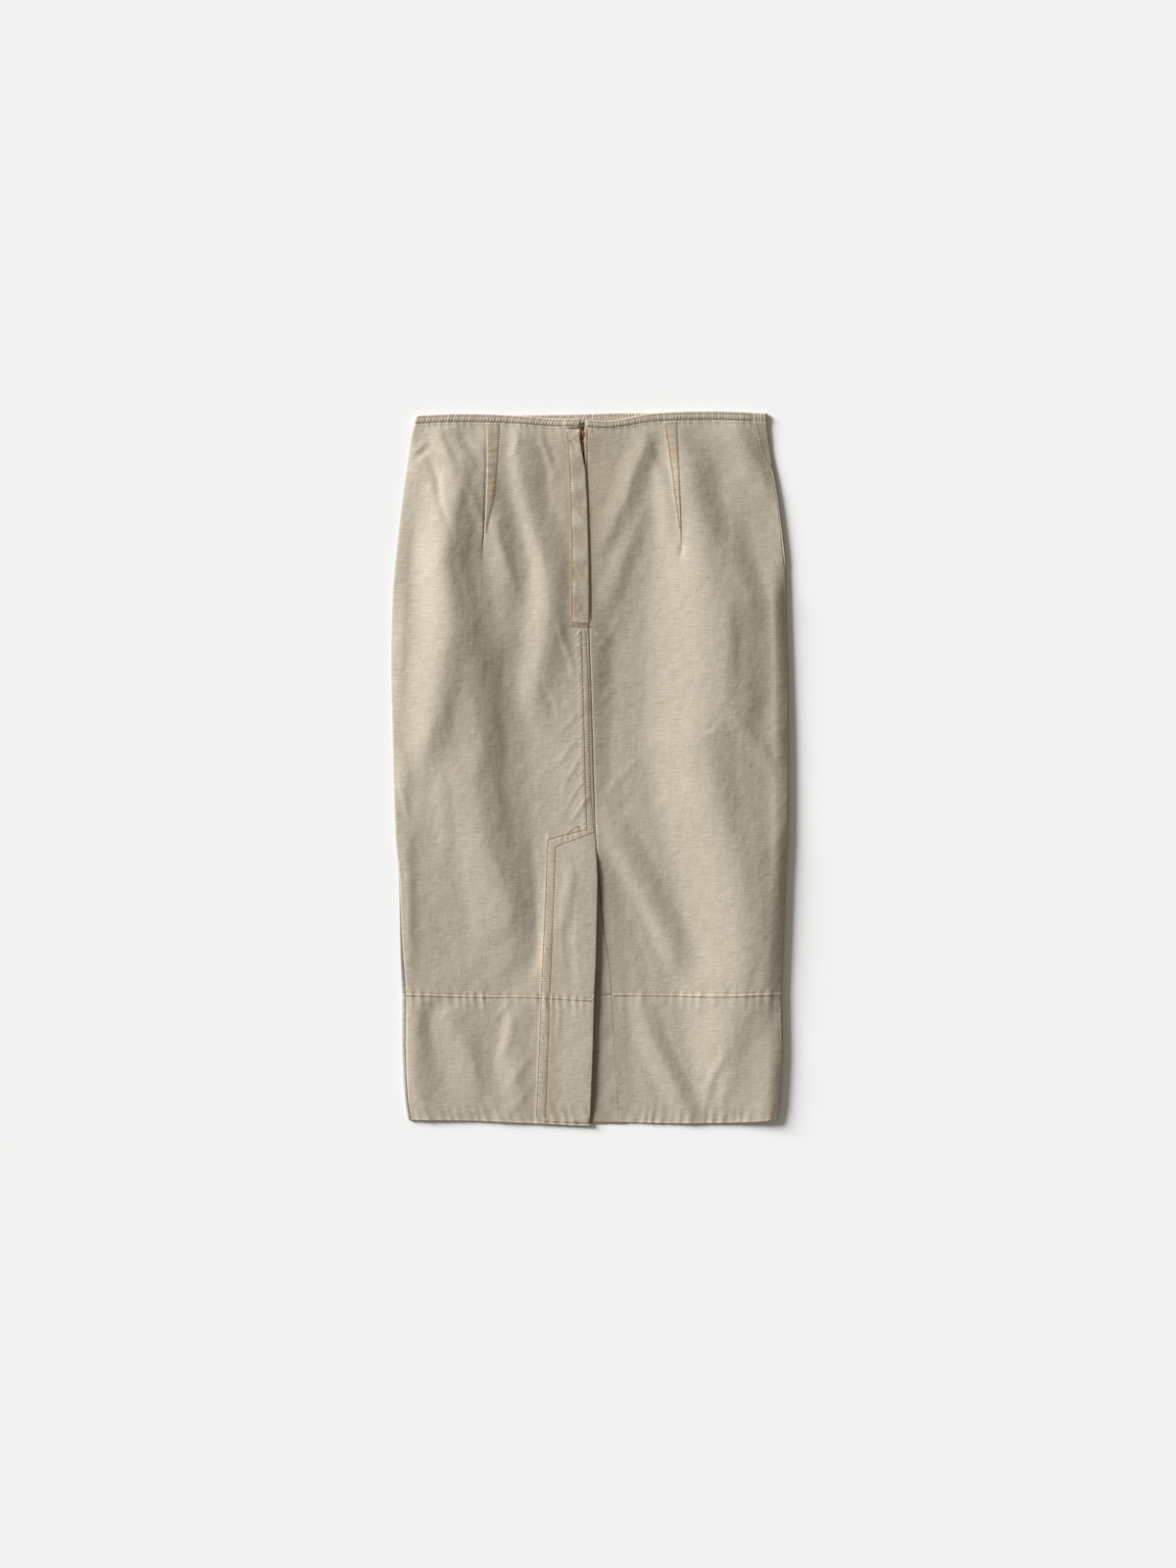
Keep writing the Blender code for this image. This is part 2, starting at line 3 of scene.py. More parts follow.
import bmesh
import bpy
import numpy as np
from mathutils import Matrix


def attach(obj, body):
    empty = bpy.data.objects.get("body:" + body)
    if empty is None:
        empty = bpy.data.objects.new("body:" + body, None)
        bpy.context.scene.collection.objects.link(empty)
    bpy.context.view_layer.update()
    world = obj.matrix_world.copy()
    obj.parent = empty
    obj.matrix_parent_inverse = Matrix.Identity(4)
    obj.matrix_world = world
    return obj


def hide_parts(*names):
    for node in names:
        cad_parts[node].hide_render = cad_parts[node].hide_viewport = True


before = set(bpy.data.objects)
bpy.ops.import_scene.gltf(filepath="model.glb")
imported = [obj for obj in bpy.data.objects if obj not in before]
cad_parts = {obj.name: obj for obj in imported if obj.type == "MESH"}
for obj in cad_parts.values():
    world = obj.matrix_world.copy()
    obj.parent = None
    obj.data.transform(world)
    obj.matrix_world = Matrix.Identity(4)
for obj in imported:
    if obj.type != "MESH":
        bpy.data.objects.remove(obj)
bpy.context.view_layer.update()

# Sizes are in millimetres in the frame of the solids: X to the right, Y from the hem to the waist, Z up. They
# become metres where a mesh is made. A level is a height on the skirt before its edges are trimmed.
mm = 0.001

skirt = {
    "cloth": 0.6,  # canvas
    "ply": 1.3,  # a wall of the solids with its gap, which the layers keep to at the waist
    "turn": 2.1,  # radius of the turned side edges
    "settle": 14.0,  # how far in from a side edge the back comes to its own height
    "lowest": 1.6,  # of the back's upper face, above the front
    "waist": 396.0,
    "hemSeam": -254.0,
    "hem": -396.0,
    "rim": 0.3,  # how far a cut edge rounds out, as a share of the cloth
    "frontGap": 0.4,  # between the front's edge and the side seam
}
quarterTurn = math.pi * skirt["turn"] / 2

# The outline: level, half widths to the left and the right, and where the left and the right side seam run,
# counted round the turned edge from its outermost line upwards.
outlineTable = (
    (-396, 204.2, 210.8, 5.2, 1.0),
    (-370, 207.9, 213.5, 5.1, 0.5),
    (-320, 210.6, 216.1, 5.4, -0.5),
    (-254, 211.2, 215.3, 6.0, -2.2),
    (-200, 213.0, 217.2, 4.1, -3.5),
    (-125, 214.5, 219.9, 1.5, -4.3),
    (-70, 218.4, 222.1, -2.0, -4.7),
    (40, 221.5, 223.0, -4.7, -4.7),
    (120, 223.0, 222.2, -4.7, -4.7),
    (200, 221.2, 220.6, -4.7, 0.0),
    (240, 217.5, 219.4, -4.7, 4.2),
    (290, 211.9, 213.4, -4.7, 3.8),
    (331, 206.3, 207.2, -4.7, 5.1),
    (350, 203.4, 203.8, -4.7, 11.7),
    (380, 198.6, 199.4, -4.7, 15.8),
    (396, 194.2, 198.4, -4.7, 17.9),
)

# Where the back panels end at the middle, by level: the left's edge and the right's, in the zip, the seam and
# the vent.
middleTable = (
    (-396, 0.0, 33.9),
    (-320, 3.2, 28.2),
    (-254, 4.9, 24.8),
    (-221, 6.6, 23.0),
    (-172, 7.7, 15.5),
    (-125, 8.8, 9.9),
    (-72, 6.0, 6.4),
    (-18, 4.3, 4.7),
    (84, 1.3, 1.7),
    (158, -1.2, -0.8),
    (164, -1.6, -0.9),
    (176, -18.6, -1.0),
    (240, -18.4, -1.6),
    (285, -19.2, -2.6),
    (334, -20.8, -5.2),
    (372, -23.4, -6.2),
    (396, -25.0, -5.4),
)

# The lines that the waist edge, the hem seam and the hem follow across each side of the skirt.
backTrim = {
    "waist": ((-194, 395), (-145, 397), (-90, 395.4), (-40, 391.2), (-11, 391), (-2, 390), (21, 389),
        (40, 391.8), (70, 397.6), (137, 400), (198, 397.7)),
    "hemSeam": ((-215, -252.2), (-130, -254.6), (-60, -255), (0, -258.5), (5, -253), (110, -253.4),
        (216, -251.4)),
    "hem": ((-204, -394.6), (-130, -395.6), (-60, -398.6), (0, -400.8), (6, -397.2), (102, -398.4),
        (180, -396.8), (211, -393.8)),
}
frontTrim = {
    "waist": ((-194, 395), (-145, 396.2), (-90, 396), (-20, 396.8), (30, 398.4), (70, 398.2), (137, 399.4),
        (198, 397.7)),
    "hemSeam": ((-215, -252.2), (0, -255), (216, -251.4)),
    "hem": ((-204, -394.4), (0, -397.6), (211, -393.6)),
}

# How the back lies: for each height up the skirt, the ridges and hollows across it from left to right, as
# (x, z) of its upper face.
lieTable = (
    (396, (-196, 5.4), (-160, 5.6), (-136, 5.4), (-127, 5.4), (-116, 5.5), (-104, 5.4), (-94, 5.4),
        (-78, 5.6), (-48, 5.3), (-10, 5.4), (22, 5.3), (58, 5.4), (99, 5.5), (126, 5.4), (170, 5.5)),
    (372, (-196, 5.8), (-157, 8.2), (-137, 7.0), (-127, 6.8), (-116, 7.4), (-104, 6.6), (-94, 6.4),
        (-78, 8.0), (-50, 6.2), (-10, 6.8), (22, 5.6), (58, 5.0), (97, 6.4), (122, 5.0), (166, 6.6)),
    (345, (-196, 6.6), (-144, 11.8), (-132, 10.9), (-122, 10.0), (-113, 8.8), (-104, 7.8), (-95, 7.4),
        (-79, 9.2), (-40, 5.6), (-12, 5.5), (20, 4.9), (66, 4.3), (110, 7.8), (145, 3.6), (184, 6.2)),
    (310, (-200, 5.8), (-147, 14.5), (-133, 12.2), (-117, 11.0), (-108, 10.2), (-100, 8.9), (-90, 8.0),
        (-74, 9.6), (-46, 6.0), (-14, 5.1), (8, 4.6), (64, 3.6), (114, 9.7), (150, 4.3), (190, 4.6)),
    (270, (-202, 5.3), (-156, 15.0), (-141, 13.0), (-126, 10.4), (-117, 9.8), (-106, 10.2), (-80, 6.9),
        (-62, 9.6), (-28, 5.7), (-8, 5.4), (18, 3.9), (65, 2.2), (126, 11.6), (158, 6.2), (184, 3.8)),
    (230, (-203, 5.0), (-162, 16.0), (-147, 13.8), (-131, 10.2), (-114, 8.4), (-97, 9.4), (-71, 6.8),
        (-51, 10.4), (-22, 6.0), (-2, 5.0), (28, 3.4), (65, 1.9), (132, 13.2), (158, 11.4), (193, 5.2)),
    (190, (-205, 5.4), (-156, 16.6), (-139, 14.2), (-123, 11.0), (-106, 8.9), (-94, 8.6), (-72, 7.0),
        (-46, 11.2), (-23, 7.4), (-2, 5.6), (26, 3.4), (58, 1.8), (145, 14.5), (175, 12.3), (201, 8.4)),
    (150, (-208, 6.6), (-154, 16.6), (-134, 14.4), (-119, 11.3), (-105, 9.2), (-92, 8.3), (-78, 7.6),
        (-47, 11.2), (-22, 8.1), (-2, 6.8), (30, 2.3), (56, 1.8), (149, 14.8), (174, 11.9), (204, 8.2)),
    (110, (-210, 6.0), (-163, 15.0), (-141, 13.5), (-124, 11.7), (-107, 8.2), (-95, 5.8), (-82, 5.2),
        (-54, 9.0), (-26, 7.2), (-4, 6.9), (30, 2.1), (54, 1.8), (151, 14.8), (173, 12.2), (205, 7.8)),
    (70, (-211, 5.9), (-167, 13.6), (-148, 11.8), (-132, 11.6), (-112, 9.0), (-97, 5.6), (-80, 4.0),
        (-60, 6.0), (-36, 5.6), (-8, 6.1), (28, 2.1), (52, 1.8), (150, 14.1), (171, 12.6), (205, 7.2)),
    (30, (-211, 5.3), (-178, 11.2), (-150, 9.8), (-124, 10.5), (-106, 7.7), (-91, 4.3), (-66, 2.8),
        (-48, 3.6), (-28, 4.6), (-8, 5.2), (26, 2.1), (52, 1.8), (135, 13.5), (165, 11.5), (206, 7.6)),
    (-10, (-202, 6.5), (-186, 7.4), (-158, 9.3), (-130, 11.0), (-110, 8.6), (-91, 4.9), (-66, 2.9),
        (-46, 3.3), (-26, 4.4), (-8, 4.9), (26, 2.1), (60, 1.8), (139, 13.6), (169, 10.6), (206, 6.6)),
    (-50, (-206, 4.6), (-190, 5.5), (-162, 7.4), (-125, 10.5), (-107, 9.0), (-88, 5.2), (-64, 2.9),
        (-44, 3.1), (-26, 3.7), (-6, 4.5), (14, 3.1), (66, 1.8), (147, 14.0), (176, 10.3), (207, 6.6)),
    (-90, (-208, 5.0), (-190, 3.8), (-160, 4.6), (-115, 9.8), (-101, 8.4), (-82, 5.4), (-62, 2.7),
        (-48, 3.0), (-30, 3.4), (0, 4.5), (22, 2.8), (76, 1.8), (161, 13.8), (183, 11.4), (208, 7.9)),
    (-130, (-208, 4.9), (-190, 3.5), (-154, 3.2), (-98, 7.8), (-86, 6.5), (-71, 4.0), (-57, 2.3), (-49, 3.2),
        (-30, 4.1), (3, 4.9), (36, 2.4), (88, 1.8), (168, 13.2), (186, 11.3), (209, 8.3)),
    (-170, (-207, 4.9), (-190, 3.4), (-147, 2.6), (-90, 6.0), (-79, 5.0), (-68, 3.3), (-58, 2.2), (-48, 3.1),
        (-30, 4.5), (3, 5.0), (40, 2.3), (96, 1.8), (172, 12.2), (189, 10.9), (209, 8.2)),
    (-210, (-206, 4.8), (-189, 3.4), (-152, 2.5), (-108, 3.0), (-92, 3.6), (-77, 2.9), (-62, 2.0),
        (-50, 3.5), (-32, 4.2), (2, 5.0), (44, 2.3), (102, 2.0), (174, 11.5), (191, 10.3), (210, 7.8)),
    (-250, (-205, 4.8), (-190, 4.4), (-160, 3.4), (-128, 2.6), (-109, 2.3), (-93, 2.2), (-80, 2.6),
        (-60, 3.4), (-34, 3.8), (1, 4.8), (40, 2.6), (88, 1.9), (170, 10.9), (189, 9.4), (210, 7.0)),
    (-278, (-208, 5.2), (-194, 5.1), (-177, 3.2), (-158, 4.2), (-129, 2.9), (-99, 2.2), (-79, 3.4),
        (-60, 3.0), (-36, 3.3), (0, 4.6), (40, 2.6), (98, 1.9), (164, 10.0), (187, 8.2), (209, 5.8)),
    (-312, (-207, 5.2), (-196, 5.4), (-173, 3.0), (-139, 4.8), (-119, 2.5), (-106, 2.1), (-86, 3.8),
        (-66, 3.0), (-34, 3.0), (0, 4.5), (42, 2.4), (103, 2.2), (158, 9.2), (182, 7.4), (208, 6.4)),
    (-346, (-206, 5.1), (-196, 5.4), (-165, 3.1), (-131, 4.8), (-117, 3.6), (-104, 2.8), (-84, 4.8),
        (-66, 3.6), (-38, 3.1), (-2, 4.3), (38, 2.8), (111, 2.6), (156, 7.8), (180, 7.2), (209, 7.2)),
    (-396, (-202, 2.4), (-186, 4.4), (-150, 3.6), (-127, 3.0), (-112, 3.4), (-94, 4.0), (-76, 3.6),
        (-58, 3.1), (-30, 2.9), (-4, 3.5), (42, 2.8), (112, 3.0), (146, 3.8), (176, 5.0), (208, 6.8)),
)

# Smaller folds on the back: how far the left and the right flank reach (below and above for a level one), how
# crisp it is, from 0 for a round back to 1 for a sharp crease, and its (x, y, height) points from its top down
# or from left to right. It is a hollow where its height is below 0.
foldTable = (
    (22, 20, 0.5, ((69, 390, 0), (64, 377, 0.9), (61, 360, 2.0), (55, 345, 2.4), (48, 328, 2.3),
        (40, 300, 2.0), (29, 279, 1.6), (18, 255, 1.0), (8, 236, 0))),
    (18, 16, 0.3, ((60, 300, 0), (51, 272, 1.0), (46, 255, 1.2), (40, 240, 1.3), (33, 220, 1.1),
        (25, 198, 0.9), (12, 172, 0))),
    (10, 18, 0.3, ((70, 376, 0), (73, 362, -0.9), (81, 345, -1.2), (88, 328, -0.7), (96, 308, 0))),
    (14, 13, 0.2, ((80, 344, 0), (82, 318, 0.8), (86, 285, 1.0), (88, 258, 0.6), (92, 238, 0))),
    (5, 5, 0.5, ((104, 258, 0), (103, 245, -0.6), (101, 234, 0))),
    (22, 16, 0.2, ((154, 394, 0), (164, 376, 1.1), (180, 355, 1.8), (190, 336, 1.3), (200, 315, 0.9),
        (206, 290, 0))),
    (17, 11, 0.2, ((150, 64, 0), (162, 56, 0.8), (172, 46, 1.2), (179, 38, 1.2), (187, 29, 1.0),
        (196, 15, 0.9), (199, 3, 0.7), (202, -14, 0))),
    (6, 7, 0.4, ((122, 44, 0), (131, 42, -0.35), (140, 52, -0.4), (150, 60, 0))),
    (12, 10, 0.0, ((160, 206, 0), (156, 176, 0.35), (158, 140, 0.4), (160, 100, 0))),
    (20, 26, 0.1, ((7, -50, 0), (26, -76, 1.8), (49, -114, 2.7), (71, -156, 2.7), (91, -198, 2.3),
        (107, -240, 0.4))),
    (14, 8, 0.3, ((22, -108, 0), (34, -140, -0.4), (50, -180, -0.6), (62, -220, -0.7), (70, -250, 0))),
    (24, 19, 0.3, ((48, -252, 0), (61, -278, 1.5), (74, -312, 2.5), (91, -346, 2.7), (107, -378, 2.0),
        (114, -396, 1.4))),
    (7, 8, 0.3, ((156, -308, 0), (146, -330, 0.5), (134, -352, 0.4), (128, -366, 0))),
    (9, 12, 0.2, ((153, -328, 0), (145, -346, -0.5), (141, -362, -0.7), (138, -380, -0.3), (136, -392, 0))),
    (9, 9, 0.2, ((206, -180, 0), (192, -212, -0.25), (182, -240, -0.2), (176, -256, 0))),
    (14, 9, 0.3, ((-174, 386, 0), (-167, 367, 1.4), (-160, 352, 1.5), (-154, 336, 0.9), (-150, 316, 0))),
    (7, 7, 0.3, ((-174, 362, 0), (-186, 355, -1.1), (-196, 347, -1.1), (-205, 340, 0))),
    (5, 5, 0.4, ((-204, 366, 0), (-198, 358, 0.8), (-188, 352, 0))),
    (8, 7, 0.4, ((-186, 354, 0), (-178, 342, -0.9), (-171, 325, -1.3), (-169, 305, -1.4), (-167, 295, -1.2),
        (-160, 278, -0.8), (-152, 256, 0))),
    (9, 7, 0.4, ((-142, 326, 0), (-132, 306, 0.7), (-124, 284, 0.6), (-114, 262, 0.3), (-108, 250, 0))),
    (9, 9, 0.2, ((-146, 386, 0), (-140, 366, -0.9), (-126, 346, -0.8), (-122, 330, 0))),
    (6, 6, 0.3, ((-84, 382, 0), (-82, 366, 0.8), (-88, 348, 0))),
    (7, 8, 0.3, ((-60, 384, 0), (-52, 362, 0.8), (-43, 338, 0.6), (-38, 316, 0))),
    (9, 7, 0.4, ((-108, 290, 0), (-100, 250, 0.9), (-87, 214, 0.6), (-84, 190, 0))),
    (6, 8, 0.3, ((-40, 182, 0), (-32, 150, 0.45), (-22, 120, 0.5), (-16, 96, 0))),
    (7, 7, 0.2, ((-58, 110, 0), (-52, 88, -0.35), (-42, 66, -0.3), (-40, 52, 0))),
    (6, 6, 0.4, ((-46, 30, 0), (-34, 40, 0.2), (-18, 56, 0.28), (-8, 66, 0))),
    (6, 6, 0.4, ((-50, -4, 0), (-36, 6, 0.22), (-20, 26, 0.3), (-8, 40, 0))),
    (5, 5, 0.5, ((-34, -34, 0), (-26, -14, 0.26), (-14, 6, 0.34), (-6, 18, 0))),
    (4, 5, 0.5, ((-30, -52, 0), (-22, -38, 0.26), (-12, -20, 0.32), (-5, -8, 0))),
    (4, 4, 0.5, ((-22, -60, 0), (-14, -50, 0.5), (-5, -36, 0.5), (-2, -28, 0))),
    (5, 5, 0.5, ((4, 150, 0), (11, 148, 0.5), (18, 142, 0.5), (22, 134, 0))),
    (6, 6, 0.3, ((6, 128, 0), (16, 140, 0.3), (30, 162, 0.25), (36, 178, 0))),
    (6, 6, 0.4, ((8, 62, 0), (20, 82, 0.3), (34, 96, 0.2), (44, 100, 0))),
    (8, 9, 0.3, ((8, -44, 0), (24, -24, 0.35), (42, -2, 0.4), (60, 16, 0.2), (72, 26, 0))),
    (7, 7, 0.2, ((12, -60, 0), (34, -48, -0.35), (50, -30, -0.3), (60, -16, 0))),
    (8, 12, 0.2, ((-57, -84, 0), (-56, -116, 0.4), (-54, -150, 0.6), (-52, -196, 0.6), (-53, -240, 0))),
    (5, 8, 0.4, ((-219, 0, 0), (-215, -14, 0.7), (-211, -30, 0.8), (-206, -48, 0.5), (-202, -66, 0))),
    (6, 8, 0.3, ((-206, -100, 0), (-202, -130, 0.3), (-204, -170, 0.3), (-202, -200, 0))),
    (14, 12, 0.0, ((-168, -6, 0), (-164, -40, 0.6), (-160, -80, 0.7), (-158, -120, 0))),
    (12, 14, 0.0, ((-150, -120, 0), (-140, -150, -0.35), (-136, -190, -0.2), (-138, -226, 0))),
    (4, 4, 0.7, ((-88, -256, 0), (-97, -270, 0.6), (-104, -280, 0.5), (-108, -286, 0))),
    (9, 9, 0.1, ((-94, -256, 0), (-90, -290, 0.8), (-99, -330, 0.5), (-96, -360, 0))),
    (7, 8, 0.4, ((-100, -372, 0), (-86, -350, 0.4), (-72, -330, 0.4), (-62, -318, 0))),
    (6, 6, 0.5, ((-92, -392, 0.1), (-80, -374, 0.35), (-66, -356, 0.25), (-60, -346, 0))),
    (4, 5, 0.2, ((-34, -258, 0), (-34, -276, 0.2), (-36, -296, 0.15), (-36, -310, 0))),
    (9, 9, 0.0, ((-20, -150, 0), (-24, -190, -0.5), (-20, -230, -0.4), (-18, -252, 0))),
    (10, 10, 0.0, ((-30, -100, 0), (-22, -120, 0.7), (-26, -150, 0.6), (-30, -180, 0))),
    (4, 4, 0.3, ((-26, 376, 0), (-20, 364, -0.6), (-14, 356, 0))),
)

# Ripples where a seam draws the cloth in: how far apart they are, how high, how far they reach to the left and
# the right of the line, how much they slant, and the line.
rippleTable = (
    (9.6, 0.42, 26, 9, 0.1, ((-208, -253.6), (-134, -256.2), (-68, -256.4), (0, -260))),
    (11.0, 0.40, 27, 8, -0.05, ((26, -254.4), (110, -254.6), (214, -252.8))),
    (11.0, 0.48, 4, 27, 0.3, ((-202, -397), (-45, -398), (0, -400))),
    (11.4, 0.48, 4, 27, -0.15, ((32, -397), (110, -398), (210, -395))),
    (9.0, 0.36, 13, 3, 0.2, ((-196, 384), (-145, 386.5), (-90, 385), (-40, 381), (-12, 380))),
    (9.0, 0.30, 11, 3, 0.2, ((-3, 380), (22, 379), (44, 382), (70, 387), (137, 389.5), (184, 388))),
    (8.5, 0.26, 9, 9, 0.0, ((-109, 382), (-110, 334), (-112, 300), (-117, 262))),
    (8.5, 0.24, 9, 9, 0.0, ((91, 382), (95, 334), (98, 300), (100.5, 266))),
    (7.0, 0.34, 13, 0.5, 0.9, ((-10, 152), (-8.6, 97), (-5.6, -18), (-4, -67))),
    (4.6, 0.22, 3.0, 3.0, 0.7, ((-6.5, 152), (-5.4, 97), (-2.8, -18), (-1, -67))),
    (9.0, 0.14, 5, 10, -0.5, ((7, 152), (8.5, 84), (11, -18), (12.5, -66))),
    (13.0, 0.26, 10, 12, -0.8, ((-21.5, 376), (-18, 330), (-14, 290), (-12, 180))),
    (7.6, 0.52, 6, 6, -1.0, ((-43.4, -86), (-46, -160), (-49.4, -238), (-55.4, -392))),
    (7.0, 0.22, 7, 8, 0.3, ((-46, -84), (-20, -78), (2, -70))),
    (9.0, 0.14, 4, 9, -0.3, ((24.2, -240), (27.6, -310), (33, -392))),
)

# Rows of stitches: their piece, the cloth that they hold, how far apart they are, and their line.
stitchTable = (
    ("placketThread", "placket", 2.9, ((-26.2, 377), (-24.2, 361.6), (-22.1, 326), (-20.6, 279),
        (-19.8, 246), (-20.4, 162.4))),
    ("placketThread", "placket", 1.9, ((-20.4, 163.0), (-8, 161.8), (-2.4, 162.2))),
    ("placketThread", "back", 1.9, ((-20.6, 158.6), (-8, 157.6), (3, 158.2))),
    ("centreThread", "back", 1.6, ((-9.9, 152.6), (-9.6, 142))),
    ("centreThread", "back", 1.6, ((-4.6, 152.6), (-4.3, 142))),
    ("centreThread", "back", 2.8, ((-9.6, 141), (-8.5, 97.6), (-5.4, -17.9), (-3.9, -67.4))),
    ("centreThread", "back", 2.8, ((-4.3, 141), (-2.2, 97.6), (0.2, -17.9), (3.4, -67.4))),
    ("ventThread", "back", 2.3, ((-3.5, -68.8), (-24, -73.6), (-47.1, -80))),
    ("ventThread", "back", 2.3, ((4.6, -71.9), (-16, -79.6), (-38.9, -88.1))),
    ("ventThread", "back", 2.0, ((-24, -73.4), (-19, -68.6), (-12.6, -65.4), (-12.4, -70.6))),
    ("ventThread", "back", 1.8, ((-24, -73.4), (-24.4, -80.4))),
    ("ventThread", "back", 1.8, ((-30.4, -76), (-31, -83))),
    ("ventThread", "back", 2.9, ((-47.1, -80), (-47.9, -90.5), (-50.4, -160), (-54, -238), (-57, -315),
        (-60.2, -391.9))),
    ("ventThread", "back", 2.9, ((-38.9, -88.1), (-41.4, -160), (-44.7, -238), (-47.4, -315),
        (-50.2, -391.9))),
    ("ventThread", "back", 1.7, ((-18, -259.8), (-9, -260.4), (2.4, -261.4))),
    ("dartThreadLeft", "back", 2.8, ((-102.0, 384), (-105.2, 334), (-108.6, 301), (-115.0, 273.6),
        (-116.8, 262.6))),
    ("dartThreadRight", "back", 2.8, ((84.6, 384), (92.2, 333.7), (95.5, 306.6), (100.6, 268))),
    ("hemThread", "band", 2.7, ((-208, -254.6), (-134, -257.0), (-68, -257.2), (-35, -258.8), (2, -261))),
    ("hemThread", "band", 2.7, ((26, -255.2), (77, -255.2), (144, -256.6), (213, -253.4))),
    ("zipThread", "back", 2.7, ((-3.4, 383), (-3.6, 345), (-2.2, 300), (-0.4, 250), (0.8, 202),
        (1.4, 166))),
    ("underlayThread", "underlay", 2.9, ((11, -140), (15.2, -182), (21.6, -224), (23.6, -254), (27.6, -318),
        (30.4, -358), (32.4, -397))),
)

darts = {
    -1: {
        "seam": ((-396, -119.0), (240, -119.6), (262, -118.0), (334, -115.8), (396, -116.8)),
        "inner": ((-396, -118.6), (250, -119.2), (262.6, -115.8), (273.6, -114.0), (301, -107.6),
            (334, -104.1), (386, -101.1), (396, -100.6)),
        "tip": 240.0,
    },
    1: {
        "seam": ((-396, 102.0), (240, 102.0), (276, 101.8), (327, 99.6), (386, 97.4), (396, 97.4)),
        "inner": ((-396, 101.6), (254, 101.4), (268, 99.8), (306.6, 94.4), (333.7, 91.1), (386, 83.6),
            (396, 83.0)),
        "tip": 244.0,
    },
}
placketRight = (
    (160, -1.0), (202, -1.1), (251, -1.6), (301, -3.1), (334, -5.2), (354, -9.0), (369, -11.4),
    (379, -10.8),
)
placketLeft = ((160, -21.8), (246, -21.4), (279, -22.0), (326, -23.6), (361.6, -25.6), (380, -27.4))


def easeStep(value, start, end):
    share = np.clip((value - start) / (end - start), 0.0, 1.0)
    return share * share * (3 - 2 * share)


def mound(value, width):
    return np.exp(-((value / width) ** 2))


def hermite(s, run, first, second, firstSlope, secondSlope):
    # a cubic from one value and slope to the next, with s from 0 to 1
    return (
        (2 * s**3 - 3 * s**2 + 1) * first
        + (s**3 - 2 * s**2 + s) * run * firstSlope
        + (3 * s**2 - 2 * s**3) * second
        + (s**3 - s**2) * run * secondSlope
    )


def smoothAlong(rows, at):
    # a smooth curve through rows of (place, value, ...) in rising order
    rows = np.asarray(rows, dtype=float)
    place, value = rows[:, 0], rows[:, 1:]
    last = len(place) - 1
    before = np.maximum(np.arange(last + 1) - 1, 0)
    after = np.minimum(np.arange(last + 1) + 1, last)
    slope = (value[after] - value[before]) / (place[after] - place[before])[:, None]
    at = np.clip(np.asarray(at, dtype=float), place[0], place[-1])
    i = np.clip(np.searchsorted(place, at, side="right") - 1, 0, last - 1)
    run = (place[i + 1] - place[i])[..., None]
    s = (at - place[i])[..., None] / run
    found = hermite(s, run, value[i], value[i + 1], slope[i], slope[i + 1])
    return found[..., 0] if found.shape[-1] == 1 else found


def straightAlong(rows, at):
    rows = np.asarray(rows, dtype=float)
    return np.interp(at, rows[:, 0], rows[:, 1])


def column(table, k):
    return [(row[0], row[k]) for row in table]


halfWidth = {-1: column(outlineTable, 1), 1: column(outlineTable, 2)}
seamArc = {-1: column(outlineTable, 3), 1: column(outlineTable, 4)}
innerEdge = {-1: column(middleTable, 1), 1: column(middleTable, 2)}
lieRows = [(row[0], *(x for x, z in row[1:]), *(z for x, z in row[1:])) for row in reversed(lieTable)]
lieCount = len(lieTable[0]) - 1


def liesAt(x, y):
    # the height of the back's main form: smooth between the ridges and hollows of lieTable, with no overshoot
    x = np.asarray(x, dtype=float)
    points = smoothAlong(lieRows, y)
    ones = np.ones(x.shape + (1,))
    px = np.concatenate([ones * -500, points[..., :lieCount], ones * 500], axis=-1)
    pz = points[..., lieCount:]
    pz = np.concatenate([pz[..., :1], pz, pz[..., -1:]], axis=-1)
    run = np.diff(px, axis=-1)
    rise = np.diff(pz, axis=-1) / run
    before, after = rise[..., :-1], rise[..., 1:]
    same = before * after > 0
    middle = np.where(same, 2 * before * after / np.where(same, before + after, 1), 0)
    slope = np.concatenate([ones * 0, middle, ones * 0], axis=-1)
    i = np.clip((x[..., None] > px).sum(axis=-1) - 1, 0, lieCount)[..., None]

    def pick(values, shift=0):
        return np.take_along_axis(values, i + shift, axis=-1)[..., 0]

    s = (x - pick(px)) / pick(run)
    return hermite(s, pick(run), pick(pz), pick(pz, 1), pick(slope), pick(slope, 1))


def finePath(path, step=5.0):
    # points a step apart on a smooth curve through the path, with how far along each is
    path = np.asarray(path, dtype=float)
    place = np.concatenate([[0], np.cumsum(np.hypot(*np.diff(path[:, :2], axis=0).T))])
    count = max(2, int(place[-1] / step) + 1)
    along = np.linspace(0, place[-1], count)
    return smoothAlong(np.column_stack([place, path]), along), along


